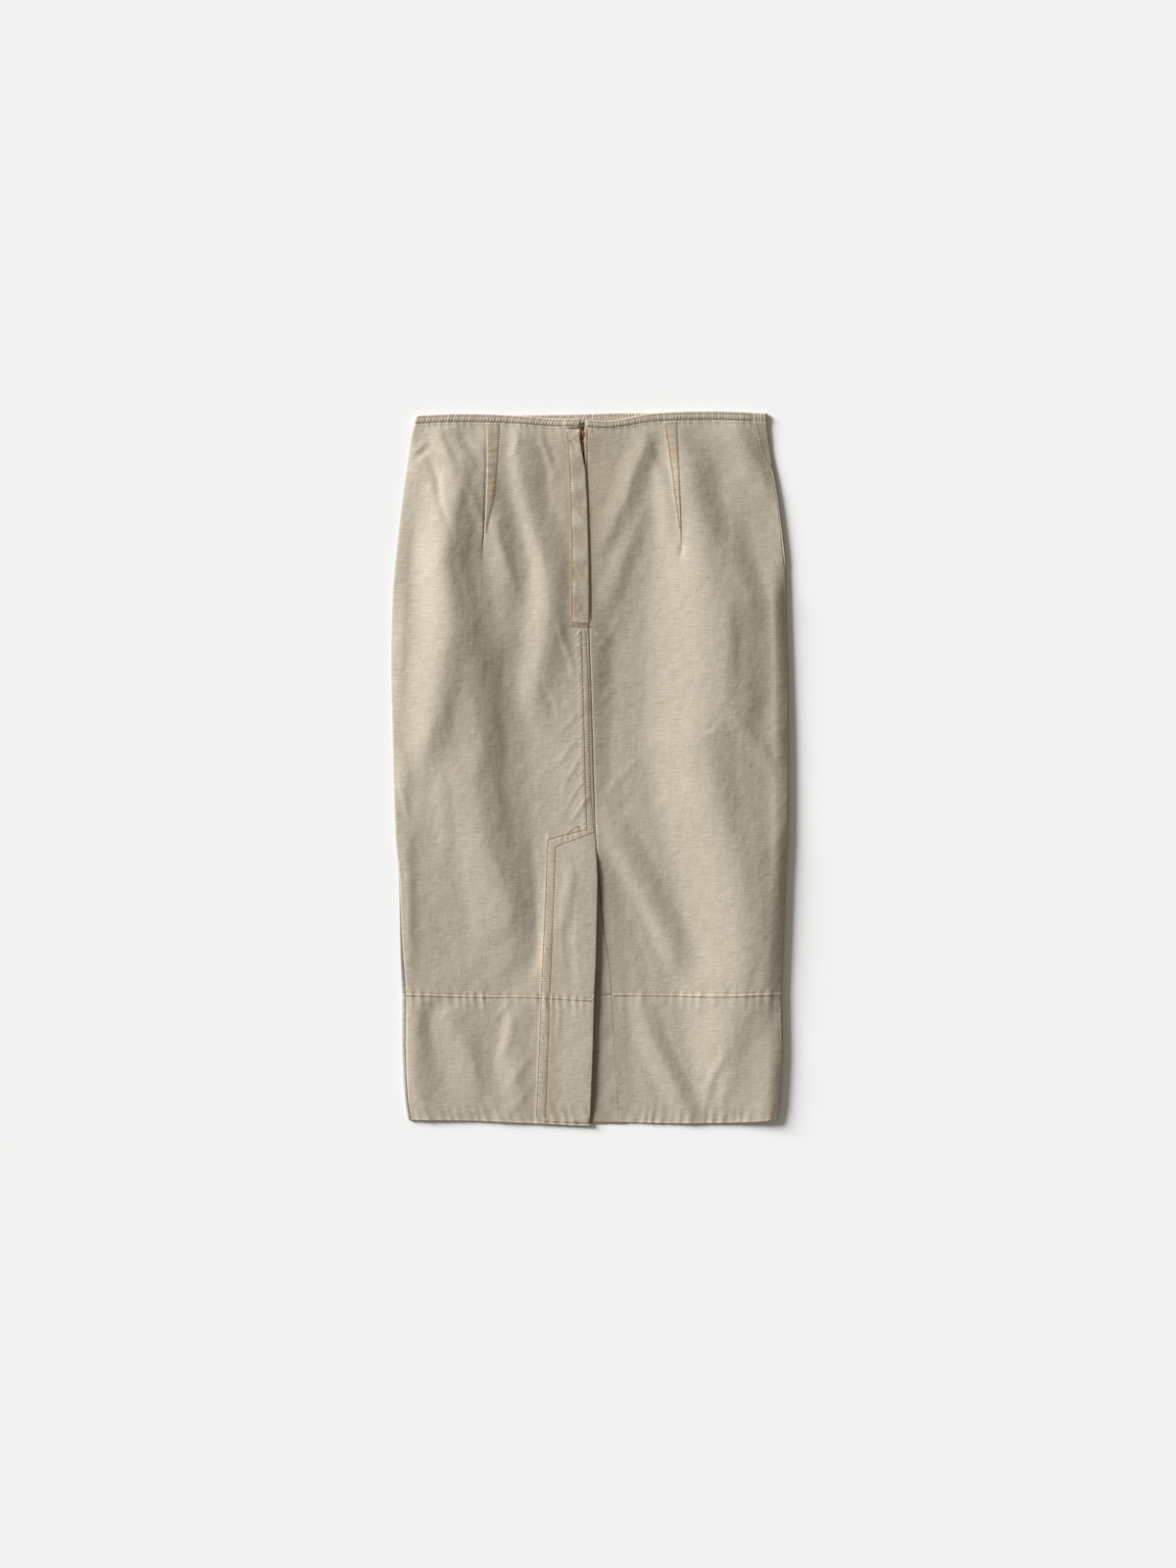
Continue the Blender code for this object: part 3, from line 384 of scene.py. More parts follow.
def nearLine(x, y, path, left, right=None):
    # for points within reach of a path: which ones, how far beside it (above 0 on its right, or above it where
    # it is level), how far along it, the path's third value there, and the share of the reach
    right = left if right is None else right
    reach = max(left, right)
    line, along = finePath(path)
    low, high = line[:, :2].min(axis=0) - reach, line[:, :2].max(axis=0) + reach
    which = np.nonzero((x > low[0]) & (x < high[0]) & (y > low[1]) & (y < high[1]))
    px, py = x[which], y[which]
    best = np.full(px.shape, 1e9)
    beside, place, value = np.zeros((3, *px.shape))
    for k in range(len(line) - 1 if len(px) else 0):
        a, step = line[k], line[k + 1] - line[k]
        length = math.hypot(step[0], step[1])
        t = np.clip(((px - a[0]) * step[0] + (py - a[1]) * step[1]) / length**2, 0, 1)
        dx, dy = px - a[0] - t * step[0], py - a[1] - t * step[1]
        far = np.hypot(dx, dy)
        nearer = far < best
        best[nearer] = far[nearer]
        sign = np.where(step[0] * dy - step[1] * dx >= 0, 1.0, -1.0)
        beside[nearer] = (far * sign)[nearer]
        place[nearer] = (along[k] + t * (along[k + 1] - along[k]))[nearer]
        if len(a) > 2:
            value[nearer] = (a[2] + t * step[2])[nearer]
    away = np.clip(np.abs(beside) / np.where(beside < 0, left, right), 0, 1)
    return which, beside, place, value, away


def foldRise(x, y, table):
    total = np.zeros(x.shape)
    for left, right, crisp, path in table:
        which, _, _, height, away = nearLine(x, y, path, left, right)
        blunt, sharp = (1 - away**2) ** 2, (1 - away) ** 2
        total[which] += height * (blunt + (sharp - blunt) * crisp)
    return total


def rippleRise(x, y):
    total = np.zeros(x.shape)
    for k, (period, height, left, right, slant, path) in enumerate(rippleTable):
        which, beside, place, _, away = nearLine(x, y, path, left, right)
        uneven = 1.3 * np.sin(place / 13.7 + k) + 0.9 * np.sin(place / 5.3 + 2.1 * k)
        uneven += 0.6 * np.sin(place / 31 + k)
        wave = np.cos(2 * math.pi * (place + slant * beside) / period + uneven)
        swell = 0.62 + 0.38 * np.sin(place / 19.0 + 1.7 * k) * np.sin(place / 7.7 + k)
        total[which] += height * (0.25 + wave) * swell * (1 - away) ** 1.6
    return total


def channelDip(x, y, on):
    # stitches pull the cloth down in a narrow channel
    total = np.zeros(x.shape)
    for _, held, _, path in stitchTable:
        if held == on:
            which, _, _, _, away = nearLine(x, y, path, 1.5)
            total[which] = np.minimum(total[which], -0.13 * (1 - away**2))
    return total


def underside(level):
    # the front's lower face, lifted by its binding's thickness at the waist
    return skirt["ply"] * easeStep(level, 350, 378)


def besideDart(side, x, y):
    # how far outwards of a dart's seam and of its inner line, and the level of its tip
    dart = darts[side]
    seam, inner = smoothAlong(dart["seam"], y), smoothAlong(dart["inner"], y)
    return side * (x - seam), side * (x - inner), dart["tip"]


def dartRise(side, x, y):
    out, within, tip = besideDart(side, x, y)
    strip = easeStep(out, 0.3, -0.5) * easeStep(within, -1.2, 0.4) * 0.22 * easeStep(y, tip + 8, tip + 34)
    groove = -0.55 * mound(out - 0.5, 0.6) * easeStep(y, tip, tip + 16)
    return strip + groove - 0.4 * mound(out, 3.4) * mound(y - tip + 2, 9)


def middleRise(side, x, y):
    # the pressed turnings left of the centre-back seam, and the dip of the right panel's edge beside it
    edge = straightAlong(innerEdge[side], y)
    if side < 0:
        on = easeStep(y, -78, -66) * easeStep(y, 164, 158)
        ridge = 0.2 * easeStep(x - edge, -17, -12.5) * on
        return ridge - 0.3 * easeStep(x - edge, -1.3, 0.0) * on
    on = easeStep(y, -100, -80) * easeStep(y, 170, 160)
    return -0.32 * easeStep(x - edge, 1.6, 0.1) * on


def ventRise(x, y):
    # the facing under the left panel, which ends between the two rows beside the vent
    step = straightAlong(((-396, -56.0), (-238, -49.6), (-90, -43.6)), y)
    return 0.7 * easeStep(x, step - 6.5, step - 3.5) * easeStep(y + 0.42 * (x + 43), -72, -82)


def backTop(side, x, y, level):
    x, y = np.asarray(x, dtype=float), np.asarray(y, dtype=float)
    press = easeStep(level, 394, 376)
    form = liesAt(x, y) + foldRise(x, y, foldTable) * (0.15 + 0.85 * press)
    form += rippleRise(x, y) * (0.35 + 0.65 * press) + channelDip(x, y, "back")
    form += dartRise(side, x, y) * (0.3 + 0.7 * press) + middleRise(side, x, y)
    lowest = skirt["lowest"] + underside(level)
    if side < 0:
        form += ventRise(x, y) + 0.9 * easeStep(x, -52, -27) * easeStep(y, 152, 190)
        lowest = lowest + 1.3 * easeStep(x, -58, -50) * easeStep(y, -64, -84)
    else:
        edge = straightAlong(innerEdge[1], y)
        lowest = lowest + 0.5 * easeStep(x - edge, 22, 8) * easeStep(y, -64, -84)
        form = form + (lowest + 0.05 - form) * easeStep(x - edge, 34, 0.4) * easeStep(y, -80, -130)
    over = form - lowest
    return lowest + np.where(over > 0.6, over, 0.6 * np.exp(np.minimum(over, 0.6) / 0.6 - 1))


trimStart = {"waist": 340, "panel": -200, "band": -320}  # levels from which the edges take their lines' shapes


def trimmed(level, x, trim):
    # a level moved so that the waist edge, the hem seam and the hem follow their own lines
    waist, seam, hem = (smoothAlong(trim[name], x) for name in ("waist", "hemSeam", "hem"))
    top, panel, band = trimStart.values()
    level = np.asarray(level, dtype=float)

    def between(start, end, line):
        return start + (level - start) * (line - start) / (end - start)

    moved = np.where(level > top, between(top, skirt["waist"], waist), level)
    moved = np.where(level < panel, between(panel, skirt["hemSeam"], seam), moved)
    moved = np.where(level < skirt["hemSeam"], between(band, skirt["hemSeam"], seam), moved)
    return np.where(level < band, between(band, skirt["hem"], hem), moved)


def arcOf(side, x, level):
    return quarterTurn + smoothAlong(halfWidth[side], level) - skirt["turn"] - side * x


def ringPoints(side, arc, level, trim):
    # points of the flattened tube: arc is counted round the turned edge from its outermost line, above 0 on
    # the upper side. Returns x, y, z and the outward normal's x and z.
    turn = skirt["turn"]
    half = smoothAlong(halfWidth[side], level)
    inward = turn + np.abs(arc) - quarterTurn
    angle = np.clip(arc, -quarterTurn, quarterTurn) / turn
    flat = np.abs(arc) > quarterTurn
    x = side * (half - np.where(flat, inward, turn - turn * np.cos(angle)))
    y = trimmed(level, x, trim)
    low = underside(level)
    inFrom = 1 - (1 - np.clip((inward - turn) / skirt["settle"], 0, 1)) ** 1.7
    upper = low + 2 * turn
    upper = upper + (backTop(side, x, y, level) - upper) * inFrom
    z = np.where(flat & (arc > 0), upper, low + turn + turn * np.sin(angle))
    return x, y, z, side * np.cos(angle) * (~flat), np.where(flat, np.sign(arc), np.sin(angle))


def frontLow(x, y, level):
    rise = foldRise(x, y, frontFolds)
    room = liesAt(x, y) - skirt["cloth"] * 2 - 1.0 - underside(level)
    return underside(level) + np.clip(rise, 0, np.maximum(room, 0))


# Hollows in the face that the skirt lies on, like the back's.
frontFolds = (
    (34, 22, 0.2, ((-150, 372, 0), (-156, 300, 1.6), (-150, 180, 2.2), (-120, 60, 1.6), (-110, -40, 0))),
    (16, 18, 0.3, ((-60, 380, 0), (-52, 300, 1.0), (-40, 200, 1.4), (-58, 90, 0))),
    (14, 12, 0.3, ((40, 350, 0), (26, 280, 0.8), (6, 220, 0))),
    (40, 24, 0.2, ((112, 372, 0), (128, 280, 1.6), (148, 150, 2.4), (146, 20, 2.2), (160, -110, 1.8),
        (172, -220, 0))),
    (28, 18, 0.2, ((-128, 30, 0), (-124, -50, 1.8), (-104, -120, 1.2), (-92, -180, 0))),
    (16, 16, 0.3, ((20, -60, 0), (46, -120, 0.7), (80, -190, 0.8), (96, -236, 0))),
    (24, 16, 0.2, ((150, -270, 0), (160, -320, 1.4), (158, -380, 0.6))),
    (10, 14, 0.3, ((-190, -262, 0), (-192, -330, 1.0), (-180, -388, 0.6))),
    (14, 14, 0.2, ((-20, 130, 0), (10, 60, 0.7), (6, -40, 0))),
)


def ownName(node):
    first, *rest = node.split("_")
    return first + "".join(part.capitalize() for part in rest)


def newPiece(name, points, faces, material, cut=None, paint=None, outward=False, smooth=True):
    # a mesh from points in millimetres. cut has each point's place on the flat piece, in metres, and paint has
    # the values that the material reads there.
    mesh = bpy.data.meshes.new(ownName(name))
    mesh.from_pydata((points.reshape(-1, 3) * mm).tolist(), [], faces)
    if outward:
        shape = bmesh.new()
        shape.from_mesh(mesh)
        bmesh.ops.recalc_face_normals(shape, faces=shape.faces)
        shape.to_mesh(mesh)
        shape.free()
    if cut is not None:
        corners = np.empty(len(mesh.loops), dtype=np.int32)
        mesh.loops.foreach_get("vertex_index", corners)
        mesh.uv_layers.new(name="cut").data.foreach_set("uv", cut[corners].ravel())
    for key, value in (paint or {}).items():
        mesh.attributes.new(key, "FLOAT", "POINT").data.foreach_set("value", value.ravel())
    mesh.polygons.foreach_set("use_smooth", np.full(len(mesh.polygons), smooth))
    mesh.materials.append(material)
    mesh.update()
    piece = bpy.data.objects.new(ownName(name), mesh)
    bpy.context.scene.collection.objects.link(piece)
    return piece


def makeSheet(name, outer, under, cut, paint):
    # a closed shell from two grids of points, with a rounded rim
    rows, cols = outer.shape[:2]
    count = rows * cols
    index = np.arange(count).reshape(rows, cols)
    rim = np.concatenate([index[0, :-1], index[:-1, -1], index[-1, :0:-1], index[:0:-1, 0]])
    i, j = rim // cols, rim % cols
    inside = np.clip(i, 1, rows - 2), np.clip(j, 1, cols - 2)
    away = (outer[i, j] + under[i, j]) / 2 - (outer[inside] + under[inside]) / 2
    away /= np.maximum(np.linalg.norm(away, axis=1), 1e-6)[:, None]
    thick = np.linalg.norm(outer[i, j] - under[i, j], axis=1)[:, None]
    middle = (outer[i, j] + under[i, j]) / 2 + away * thick * skirt["rim"]
    quads = np.stack([index[:-1, :-1], index[:-1, 1:], index[1:, 1:], index[1:, :-1]], axis=-1).reshape(-1, 4)
    r, c = rows // 2, cols // 2
    across = np.cross(outer[r, c] - outer[r, c - 1], outer[r, c] - outer[r - 1, c])
    way = 1 if np.dot(across, outer[r, c] - under[r, c]) > 0 else -1
    mid = 2 * count + np.arange(len(rim))
    rimNext, midNext = np.roll(rim, -1), np.roll(mid, -1)
    faces = np.concatenate([
        quads[:, ::way],
        quads[:, ::-way] + count,
        np.stack([rimNext, rim, mid, midNext], axis=-1)[:, ::way],
        np.stack([midNext, mid, rim + count, rimNext + count], axis=-1)[:, ::way],
    ])
    every = np.concatenate([index.ravel(), index.ravel(), rim])
    values = {}
    for key in paintKeys:
        values[key] = np.broadcast_to(paint[key], (rows, cols)).ravel().astype(float)[every]
    points = np.concatenate([outer.reshape(-1, 3), under.reshape(-1, 3), middle])
    return newPiece(name, points, faces.tolist(), canvasFace, cut.reshape(-1, 2)[every], values)


def srgb(text, gain=1.0):
    # a hex colour as linear light
    parts = [int(text[k : k + 2], 16) / 255 for k in (1, 3, 5)]
    return tuple(gain * (v / 12.92 if v <= 0.04045 else ((v + 0.055) / 1.055) ** 2.4) for v in parts) + (1.0,)


def fillSockets(tree, node, values):
    # sets sockets by name or number, or links them to what they are given
    for key, source in values.items():
        if isinstance(source, bpy.types.NodeSocket):
            tree.links.new(source, node.inputs[key])
        else:
            node.inputs[key].default_value = source


def addNode(tree, kind, values=None, out=0, **settings):
    # a node with its settings, constants and links. Returns one of its outputs.
    node = tree.nodes.new("ShaderNode" + kind)
    for key, value in settings.items():
        setattr(node, key, value)
    fillSockets(tree, node, values or {})
    return node.outputs[out]


def newMaterial(name):
    material = bpy.data.materials.new(name)
    material.use_nodes = True
    tree = material.node_tree
    return material, tree, tree.nodes["Principled BSDF"]


canvas = {
    "base": "#AB9F8D",
    "pale": "#CBC3B4",
    "deep": "#807360",
    "tan": "#9C8460",
    "thread": "#7B583D",
    "redThread": "#75523D",
    "weave": 0.0012,  # metres a thread pair
}

# What is uneven in the canvas: its size in metres, how it is drawn out across and along, the noise's detail
# and roughness, and how much it changes the tone. Waves are the creases of washing and wear, a finger wide.
canvasUneven = {
    "weftLong": (0.0010, (17, 1, 1), 1.0, 0.5, 1.15),
    "weftShort": (0.0010, (4, 1, 1), 1.0, 0.5, 0.5),
    "warpLong": (0.0011, (1, 9, 1), 1.0, 0.5, 0.35),
    "grain": (0.0016, (1.3, 1, 1), 2.0, 0.6, 0.2),
    "cloudy": (0.034, (1, 1.6, 1), 3.0, 0.5, 0.26),
    "patchy": (0.008, (1, 1.3, 1), 3.0, 0.6, 0.12),
    "crumple": (0.0055, (1, 1.5, 1), 2.0, 0.5, 0.0),
    "waves": (0.013, (1, 1.3, 1), 3.0, 0.5, 0.0),
}
paintKeys = ("wear", "yellow", "fade")


def canvasMaterial():
    # slubbed cotton canvas: uneven weft threads, washed edges with painted highlights, painted light and shade
    # from its attributes, dull and slightly fuzzy
    material, tree, shader = newMaterial("slub canvas")
    place = addNode(tree, "UVMap", uv_map="cut")
    noise, tone = {}, 0.5 - sum(row[4] for row in canvasUneven.values()) / 2
    for name, (size, stretch, detail, rough, amount) in canvasUneven.items():
        scaled = addNode(tree, "Mapping", {"Vector": place, "Scale": tuple(1 / (size * k) for k in stretch)})
        values = {"Vector": scaled, "Scale": 1.0, "Detail": detail, "Roughness": rough}
        noise[name] = addNode(tree, "TexNoise", values)
        if amount:
            tone = addNode(tree, "Math", {0: noise[name], 1: amount, 2: tone}, operation="MULTIPLY_ADD")
    wear, yellow, fade = (addNode(tree, "Attribute", None, "Fac", attribute_name=key) for key in paintKeys)
    uneven = addNode(tree, "Math", {0: noise["grain"], 1: 1.1, 2: 0.45}, operation="MULTIPLY_ADD")
    paleWearAndHighlight = addNode(tree, "Math", {0: wear, 1: uneven}, operation="MULTIPLY", use_clamp=True)
    # painted light and shade: the colour is scaled by one plus this attribute
    bright = addNode(tree, "Math", {0: 1.0, 1: fade}, operation="ADD")
    colour = srgb(canvas["deep"])
    for share, layer, blend in (
        (tone, srgb(canvas["pale"]), "MIX"),
        (0.5, srgb(canvas["base"]), "MIX"),
        (yellow, srgb(canvas["tan"]), "MIX"),
        (paleWearAndHighlight, srgb(canvas["pale"], 1.12), "MIX"),
        (1.0, bright, "MULTIPLY"),
    ):
        colour = addNode(tree, "Mix", {0: share, 6: colour, 7: layer}, 2, data_type="RGBA", blend_type=blend)
    # the weave, drawn coarser than the cloth's 0.7 mm a thread pair, so that it holds at a distance
    weave = {"Vector": place, "Scale": 0.16 / canvas["weave"], "Distortion": 0.6, "Detail": 1.0}
    warp, weft = (addNode(tree, "TexWave", weave, "Fac", bands_direction=way) for way in "XY")
    relief = addNode(tree, "Math", {0: warp, 1: weft}, operation="ADD")
    relief = addNode(tree, "Math", {0: relief, 1: 0.16}, operation="MULTIPLY")
    for name, amount in (("weftLong", 0.5), ("weftShort", 0.35)):
        relief = addNode(tree, "Math", {0: noise[name], 1: amount, 2: relief}, operation="MULTIPLY_ADD")
    normal = addNode(tree, "Bump", {"Height": relief, "Strength": 0.5, "Distance": 0.00028})
    for name, deep in (("crumple", 0.00014), ("waves", 0.0013)):
        values = {"Height": noise[name], "Strength": 0.5, "Distance": deep, "Normal": normal}
        normal = addNode(tree, "Bump", values)
    fillSockets(tree, shader, {
        "Base Color": colour,
        "Normal": normal,
        "Roughness": 0.88,
        "Specular IOR Level": 0.25,
        "Sheen Weight": 0.12,
        "Sheen Roughness": 0.6,
    })
    return material


canvasFace = canvasMaterial()


def spread(anchors, counts):
    # columns between anchors: anchors is a list of arrays, one value a row, and counts the steps between them
    parts = [anchors[0][:, None]]
    for a, b, n in zip(anchors[:-1], anchors[1:], counts):
        parts.append(a[:, None] + (b - a)[:, None] * (np.arange(1, n + 1) / n)[None, :])
    return np.concatenate(parts, axis=1)


def steps(*pairs):
    # levels: (start, end, step) runs joined
    parts = [np.array([pairs[0][0]], dtype=float)]
    for start, end, step in pairs:
        count = max(1, int(round(abs(end - start) / step)))
        parts.append(start + (end - start) * np.arange(1, count + 1) / count)
    return np.concatenate(parts)


panelLevels = steps(
    (-254, -230, 1.5), (-230, -96, 2.5), (-96, -62, 1.2), (-62, 150, 2.2),
    (150, 165, 1.2), (165, 340, 2.2), (340, 394.5, 1.6),
)
bandLevels = steps((-396, -392, 1.0), (-392, -262, 2.0), (-262, -254, 1.0))


edges = {"waistThin": 0.42, "hemThin": 0.2, "rightLift": 2.2}  # shares of the height, and millimetres


def settled(points):
    # the edges: pressed thin at the right of the waist and at the hem, a little off the ground down the right
    points = points.copy()
    x, y = points[..., 0], points[..., 1]
    thin = 1 - edges["waistThin"] * easeStep(y, 285, 375) * easeStep(x, 164, 203)
    thin = thin - edges["hemThin"] * easeStep(y, -376, -399)
    lift = edges["rightLift"] * easeStep(x, 150, 218) * easeStep(y, 250, -100)
    points[..., 2] = points[..., 2] * thin + lift
    return points


def seamDip(distance, deep):
    # an edge sewn to another turns down into the seam
    return deep * mound(distance, 0.9)


def backPaint(side, x, y):
    # pale where seams stand proud, as wear and painted highlight; browner by the placket and in the darts;
    # painted shade by the darts and the vent, and painted light on the left hip
    wear, stained = np.clip(rippleRise(x, y) * 0.9, 0, 0.35), np.zeros(x.shape)
    for _, on, _, path in stitchTable:
        if on in ("back", "band"):
            which, beside, place, _, _ = nearLine(x, y, path, 5.0)
            uneven = 0.5 + 0.5 * np.sin(place / 3.1) * np.sin(place / 11.0 + 1)
            stained[which] = np.maximum(stained[which], 0.35 * mound(beside, 0.9))
            wear[which] = np.maximum(wear[which], 0.16 * uneven * mound(np.abs(beside) - 1.6, 1.3))
    out, within, tip = besideDart(side, x, y)
    strip = easeStep(out, 0.6, -0.6) * easeStep(within, -0.8, 0.6) * easeStep(y, tip + 6, tip + 22)
    yellow = 0.5 * strip * (0.6 + 0.4 * np.sin(y / 3.7) * np.sin(y / 9.1))
    closed = easeStep(y, tip, tip + 16)
    # pale lines beside each dart: wear, and painted highlight
    pale = (0.45 if side < 0 else 0.1) * mound(out + 0.9, 0.6)
    pale = pale + 0.26 * mound(within + 1.7, 0.7) * easeStep(y, tip + 14, tip + 34)
    wear = np.maximum(wear, pale * closed)
    # painted shade: a dark line just outside each dart's seam
    fade = -(0.3 if side < 0 else 0.5) * mound(out - 0.9, 0.6) * closed
    if side < 0:
        between = easeStep(x, -57, -50) * easeStep(x, -34, -42)  # the vent's two rows
        yellow = yellow + 0.2 * between * easeStep(y, -86, -120)
        yellow = yellow + 0.22 * easeStep(x, -62, -18) * easeStep(y, 150, 260)
        # painted light on the left hip, most of it from the middle up
        fade = fade + 0.05 * easeStep(x, -120, -180) * np.clip((y + 60) / 120, 0.2, 1)
    else:
        # the right panel's edge in the vent: a tan line, with painted shade over its lit rim; painted shade on
        # the right panel beside the vent
        edged = easeStep(x - straightAlong(innerEdge[1], y), 1.6, 0.3) * easeStep(y, -96, -120)
        yellow = yellow + 0.12 * easeStep(x, 60, 10) * easeStep(y, 120, 330) + 0.45 * edged
        fade = fade - 0.2 * easeStep(x, 66, 16) * easeStep(y, -90, -130) - 0.3 * edged
    return {"wear": wear, "yellow": np.clip(yellow + stained, 0, 1), "fade": fade}


def sewnDip(side, arc, level, deepHem):
    deepSide = 0.1 if side < 0 else 0.3
    fromSeam = arc - smoothAlong(seamArc[side], level)
    return seamDip(fromSeam, deepSide) + seamDip(level - skirt["hemSeam"], deepHem)


def raisedRing(side, arc, level, trim, rise):
    # points of the tube raised along their normals by rise(x, y), and the normals
    x, y, z, nx, nz = ringPoints(side, arc, level, trim)
    up = rise(x, y)
    return np.stack([x + nx * up, y, z + nz * up], axis=-1), np.stack([nx, 0 * nx, nz], axis=-1)


def ringSheet(sides, trim, lift):
    # the outer and under faces of a piece of the tube. sides has (side, arcs, levels) laid one after another.
    laid = [raisedRing(*part, trim, lambda x, y: lift(*part, x, y)) for part in sides]
    outer, normal = (np.concatenate(half, axis=1) for half in zip(*laid))
    return settled(outer), settled(outer - normal * skirt["cloth"])


def flatCut(outer):
    # width and length of the flat piece, and its area, in metres: along the cloth, from edge to edge
    rows = np.linalg.norm(np.diff(outer, axis=1), axis=-1).sum(axis=1)
    cols = np.linalg.norm(np.diff(outer, axis=0), axis=-1).sum(axis=0)
    a = outer[1:, 1:] - outer[:-1, :-1]
    b = outer[1:, :-1] - outer[:-1, 1:]
    area = np.linalg.norm(np.cross(a, b), axis=-1).sum() / 2
    return rows.max() * mm, cols.max() * mm, area * mm * mm


def hemPaintedLight(level):
    # painted light on the hem's fold, over its shaded rim
    return 0.35 * mound(level - skirt["hem"], 1.0)


def backColumns(side, level):
    seam = smoothAlong(seamArc[side], level)
    dart = arcOf(side, smoothAlong(darts[side]["seam"], level), level)
    inner = arcOf(side, smoothAlong(darts[side]["inner"], level), level)
    edge = arcOf(side, straightAlong(innerEdge[side], level), level)
    if side < 0:
        near = arcOf(side, np.full(level.shape, -62.0), level)
        anchors = [seam, seam + 9, seam + 24, dart - 1.5, inner + 1.5, near, edge]
        return spread(anchors, [9, 8, 34, 12, 16, 64])
    near = np.minimum(inner + 14, edge - 26)
    anchors = [seam, seam + 9, seam + 24, dart - 1.5, inner + 1.5, near, edge - 12, edge]
    return spread(anchors, [9, 8, 44, 12, 6, 24, 9])


sheets = []


def standFor(piece, node, body="skirt"):
    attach(piece, body)
    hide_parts(node)


def layCloth(piece, node, slot, width, length, area):
    standFor(piece, node)
    sheets.append((piece, width, length, area))
    print("made", node, len(piece.data.polygons) * 2, "triangles")


def backPiece(name, side, levels):
    arc = backColumns(side, levels)
    level = np.broadcast_to(levels[:, None], arc.shape)
    seam = smoothAlong(seamArc[side], level)
    outer, under = ringSheet([(side, arc, level)], backTrim, lambda s, a, lev, x, y: -sewnDip(s, a, lev, 0.07))
    paint = backPaint(side, outer[..., 0], outer[..., 1])
    # a pale line beside the side seam and along the hem's fold, as wear; painted highlights on that line on
    # the right panel's upper part, on the hem's fold and along the hem seam
    piped = easeStep(level, 230, 280) * (side > 0)
    ridge = mound(arc - seam - 1.4 + 0.8 * piped, 1.0)
    wear = paint["wear"] + (0.2 + 0.5 * piped) * ridge + 0.3 * mound(level - skirt["hem"], 1.4)
    paint["wear"] = np.clip(wear, 0, 1)
    paint["fade"] = paint["fade"] + 0.22 * piped * ridge + hemPaintedLight(level)
    paint["fade"] += 0.25 * mound(level - skirt["hemSeam"], 0.9)
    if side < 0:  # painted shade on its turned edge above the band, and painted light on it along the band
        above = easeStep(level, -275, -235)
        paint["fade"] += 0.16 * easeStep(arc, 16, 3) * (1 - above) - 0.5 * easeStep(arc, 4.0, -0.5) * above
    piece = makeSheet(name, outer, under, np.stack([arc * mm, level * mm], axis=-1), paint)
    layCloth(piece, name, "canvas", *flatCut(outer))


for levels, pieces in (
    (panelLevels, ("back_left_panel", "back_right_panel")),
    (bandLevels, ("back_left_hem_band", "back_right_hem_band")),
):
    for side, name in zip((-1, 1), pieces):
        backPiece(name, side, levels)


def frontPiece(name, levels):
    # round the left edge, under the skirt and round the right edge
    left, right = (arcOf(side, np.zeros(levels.shape), levels) for side in (-1, 1))
    seamLeft, seamRight = (smoothAlong(seamArc[side], levels) - skirt["frontGap"] for side in (-1, 1))
    arcLeft = spread([seamLeft, seamLeft - 8, seamLeft - 24, -left], [8, 5, 38])
    arcRight = spread([seamRight, seamRight - 24, seamRight - 32, -right], [22, 3, 36])[:, ::-1][:, 1:]
    level = levels[:, None]

    def lift(side, arc, lev, x, y):
        low = frontLow(x, y, lev) - underside(lev)
        low *= easeStep(-arc, quarterTurn + 6, quarterTurn + 30)
        dip = sewnDip(side, arc, lev, 0.15) * easeStep(arc, -quarterTurn - 3, -quarterTurn + 2)
        return -low - dip

    parts = [(side, arc, np.broadcast_to(level, arc.shape)) for side, arc in ((-1, arcLeft), (1, arcRight))]
    outer, under = ringSheet(parts, frontTrim, lift)
    # painted shade: on the front's turned left edge, in a line beside each side seam, and softly near the
    # right side seam high up
    turnedUp = easeStep(level, -225, -265)
    leftShade = easeStep(arcLeft, -8, -3) * (0.5 - turnedUp * (0.16 + 0.34 * easeStep(arcLeft, 1.0, 3.6)))
    leftShade = leftShade + 0.3 * turnedUp * mound(seamLeft[:, None] - arcLeft, 0.8)
    fromRight = seamRight[:, None] - arcRight
    rightShade = 0.07 * easeStep(fromRight, 24, 14) + 0.3 * mound(fromRight - 2.0, 1.0)
    shade = np.concatenate([leftShade, rightShade * easeStep(level, 230, 290)], axis=1)
    proud = np.clip(rippleRise(outer[..., 0], outer[..., 1]), 0, 0.4)
    along = np.concatenate([-arcLeft - left[:, None], arcRight + right[:, None]], axis=1)
    cut = np.stack([along * mm, np.broadcast_to(level, along.shape) * mm], axis=-1)
    piece = makeSheet(name, outer, under, cut, {"wear": proud, "yellow": 0.04, "fade": hemPaintedLight(level) - shade})
    layCloth(piece, name, "canvas", *flatCut(outer))


frontPiece("front_panel", steps((-254, -230, 2.0), (-230, 340, 4.0), (340, 394.5, 2.0)))
frontPiece("front_hem_band", steps((-396, -392, 1.0), (-392, -262, 4.0), (-262, -254, 1.0)))


def flatSheet(name, xs, ys, top, trim, paint, slot="canvas", cloth=skirt["cloth"]):
    # a sheet whose upper face is top(x, y, level) over rows of x at each level
    level = np.broadcast_to(ys[:, None], xs.shape)
    y = trimmed(level, xs, trim)
    outer = np.stack([xs, y, top(xs, y, level)], axis=-1)
    under = outer.copy()
    under[..., 2] -= cloth
    piece = makeSheet(name, outer, under, np.stack([xs * mm, level * mm], axis=-1), paint(xs, y))
    layCloth(piece, name, slot, *flatCut(outer))


def plain(x, y):
    return {"wear": 0.0, "yellow": 0.05, "fade": -0.06}


# The facing lies just under the left panel beside the vent.
facingLevels = steps((-394, -80, 2.5))
facingEdge = straightAlong(innerEdge[-1], facingLevels) - 0.5
facingXs = spread([np.full(facingLevels.shape, -54.0), facingEdge], [26])


def facingTop(x, y, level):
    return backTop(-1, x, y, level) - skirt["cloth"] - 0.12


